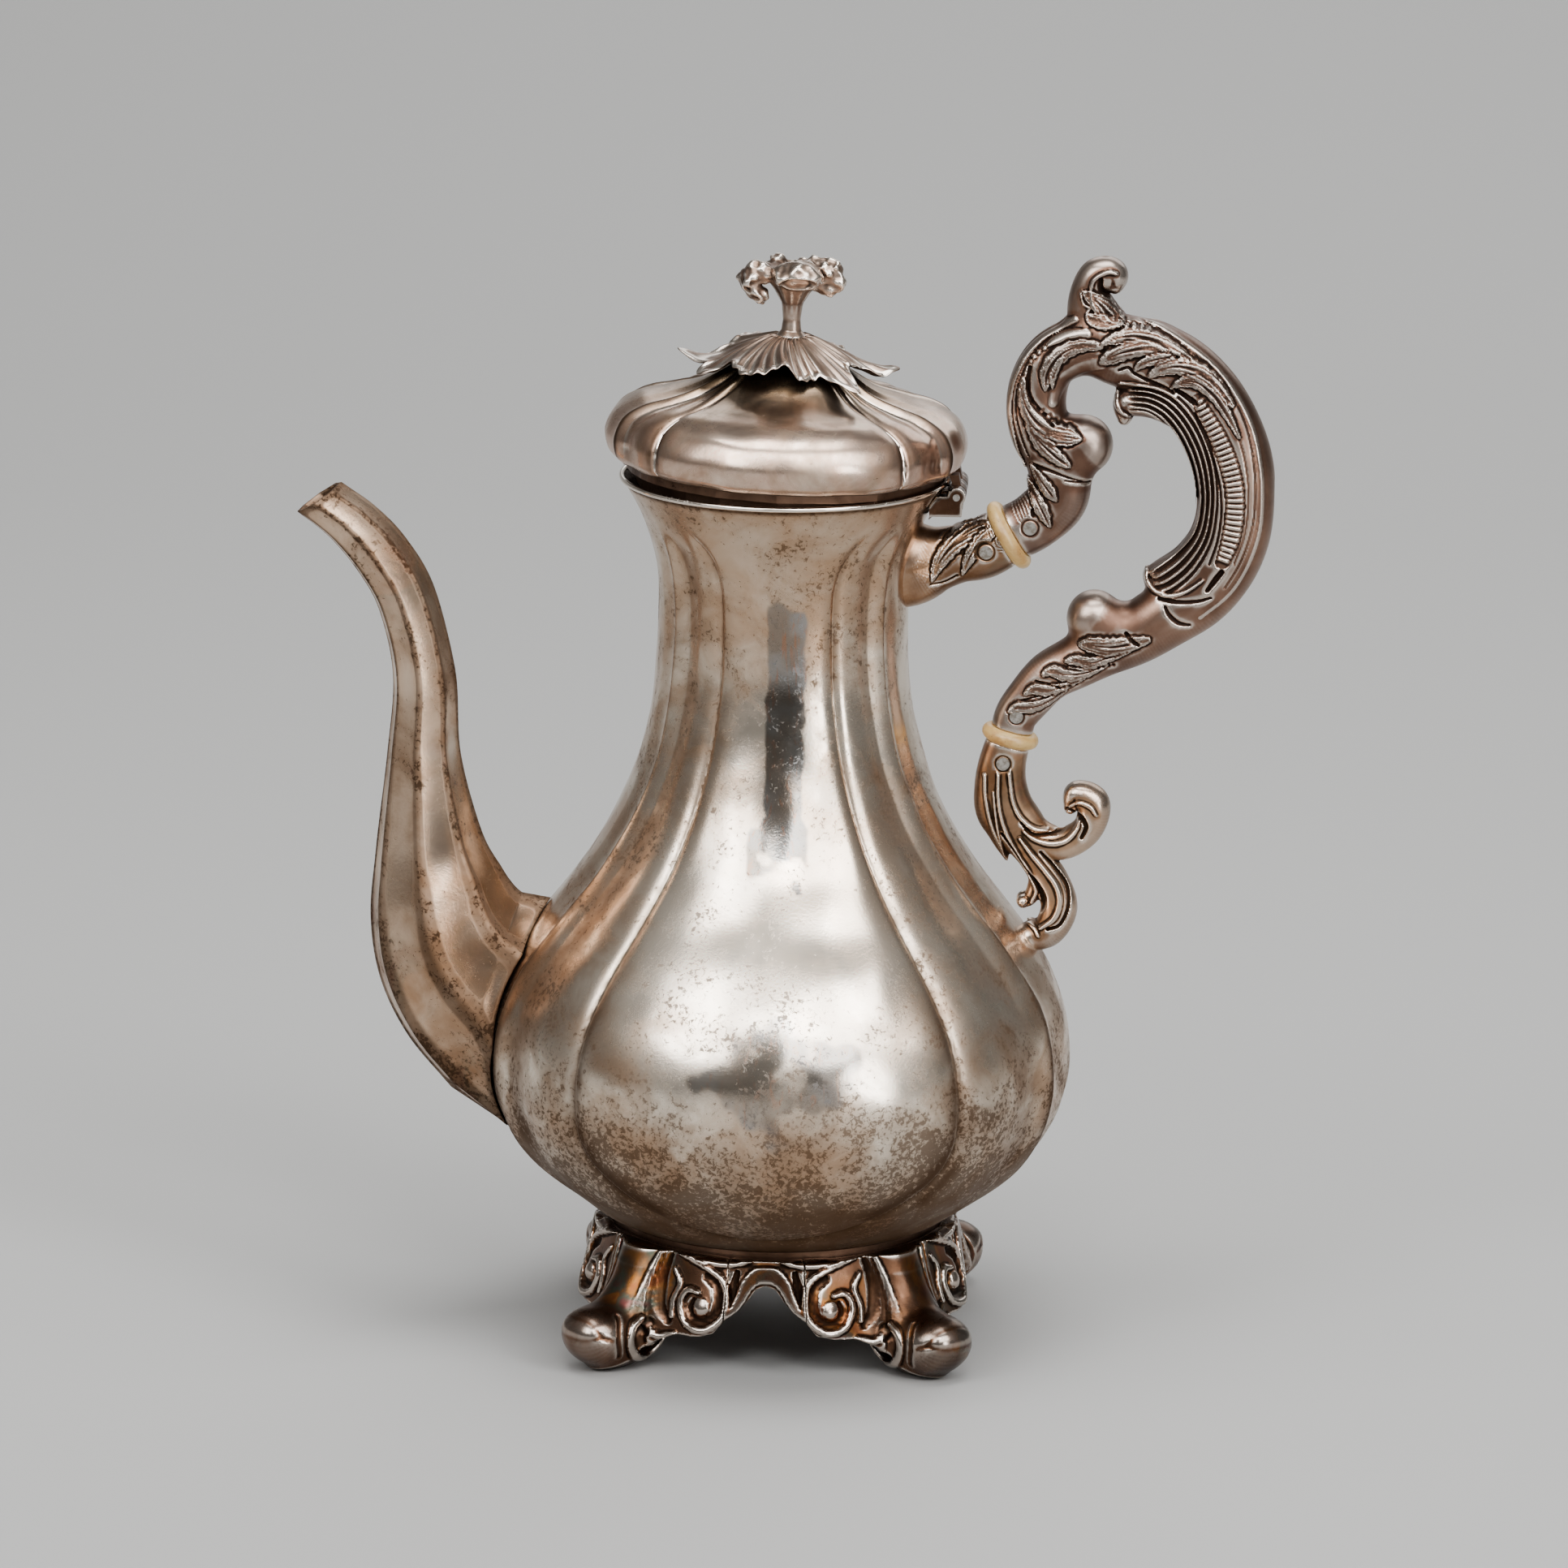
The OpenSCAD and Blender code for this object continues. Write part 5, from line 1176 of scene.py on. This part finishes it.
def make_blossom():
    step = 0.2
    X, Y, Z, origin = field_grid((-13, -10.5, 230.4), (15.2, 10.5, 251.6), step)
    stem = np.interp(Z, [230.5, 231.4, 232.6, 235, 238.8, 241.6, 244.3, 246.5, 248],
                     [4.4, 3.4, 2.3, 2.0, 2.4, 4.0, 6.0, 6.6, 5.6])
    flute = 0.12 * np.cos(12 * np.arctan2(Y, X)) * ease((Z - 236) / 6)
    value = most((np.hypot(X, Y) - stem - flute) * 0.85, Z - 247.2,
                 3.6 - np.sqrt(X ** 2 + Y ** 2 + (Z - 249.5) ** 2))
    p = np.stack(np.broadcast_arrays(X, Y, Z), -1)
    crinkle = 0.16 * wobble(p, 2.2, 41, 8) + 0.34 * wobble(p, 4.6, 42, 6)
    for chain in PETALS:
        value = smin(value, capsules(X + 1.2, Y, Z + 0.9, chain) + crinkle, 0.9)
    # front petal: a pointed hood with a hollow underside
    hood = bubble(X, Y, Z, (1.2, -4.6, 245.9), (5.6, 4.4, 3.2)) * 3.6 - 3.6
    hood = smin(hood, capsules(X, Y, Z, "1 -5 246.6 1.8, 1.2 -7.4 248 1.1"), 1.2) + 0.4 * crinkle
    under = bubble(X, Y, Z, (1.6, -7.8, 243.9), (4.4, 3.2, 2.2)) * 2.4 - 2.4
    value = np.maximum(smin(value, np.maximum(hood, -under), 0.6), 231.35 - Z)
    net_piece("finial_bloom", value, origin, step, "lid", finial_silver, ["finial_blossom"], move=seated)


make_leaf()
make_blossom()

# --- mouth and hinge

EDGE_WIRE = 0.62  # radius of the mouth's drawn edge
BARREL_R, KNUCKLE_HALF, KNUCKLE_PITCH = 2.05, 1.85, 8


def make_mouth():
    a, b = np.meshgrid(np.radians(np.arange(0, 360, 30)), np.radians(np.arange(0, 360, 1.5)), indexing="ij")
    r = MOUTH_R - 0.15 + EDGE_WIRE * np.cos(a)
    points, faces = sheet(np.stack([r * np.cos(b), r * np.sin(b), MOUTH_Z + 0.2 + EDGE_WIRE * np.sin(a)], -1))
    add_piece("mouth_edge", points, faces, "pot", body_silver, "mouth_wire", hollow=np.full(len(points), -0.4))


def make_hinge():
    """Fixed knuckles on a small plate that follows the neck."""
    step = 0.2
    X, Y, Z, origin = field_grid((33, -10.6, 190), (42, 10.6, 201.2), step)
    barrel = np.hypot(X - HINGE[0], Z - HINGE[2]) - BARREL_R
    skin, r = body_r(Z) + 0.1, np.hypot(X, Y)
    plate = most(skin - r, r - skin - 1.3, 192.6 - Z, Z - 197.2)
    arm = most(X - HINGE[0] - 1.2, skin - r, 193.6 - Z, Z - HINGE[2])
    knuckles = reduce(np.minimum, (np.abs(Y - k * KNUCKLE_PITCH) for k in (-1, 0, 1))) - KNUCKLE_HALF
    value = smin(plate, np.maximum(np.minimum(barrel, arm), knuckles), 0.5)
    net_piece("hinge_plate", np.maximum(value, np.abs(Y) - 9.9), origin, step, "pot", foot_silver,
              ["hinge_bracket"])


make_mouth()
make_hinge()

# --- CAD pieces that keep their shape

for material, nodes in (
        (dark_silver, "bottom_disc foot_collar lid_hinge_leaf lid_bezel"),
        (pin_metal, "hinge_pin upper_socket_pin upper_grip_pin lower_grip_pin lower_socket_pin "
                    "finial_stud finial_washer finial_nut"),
        (ivory, "upper_insulator lower_insulator")):
    for node in nodes.split():
        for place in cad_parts[node].material_slots:
            place.material = material
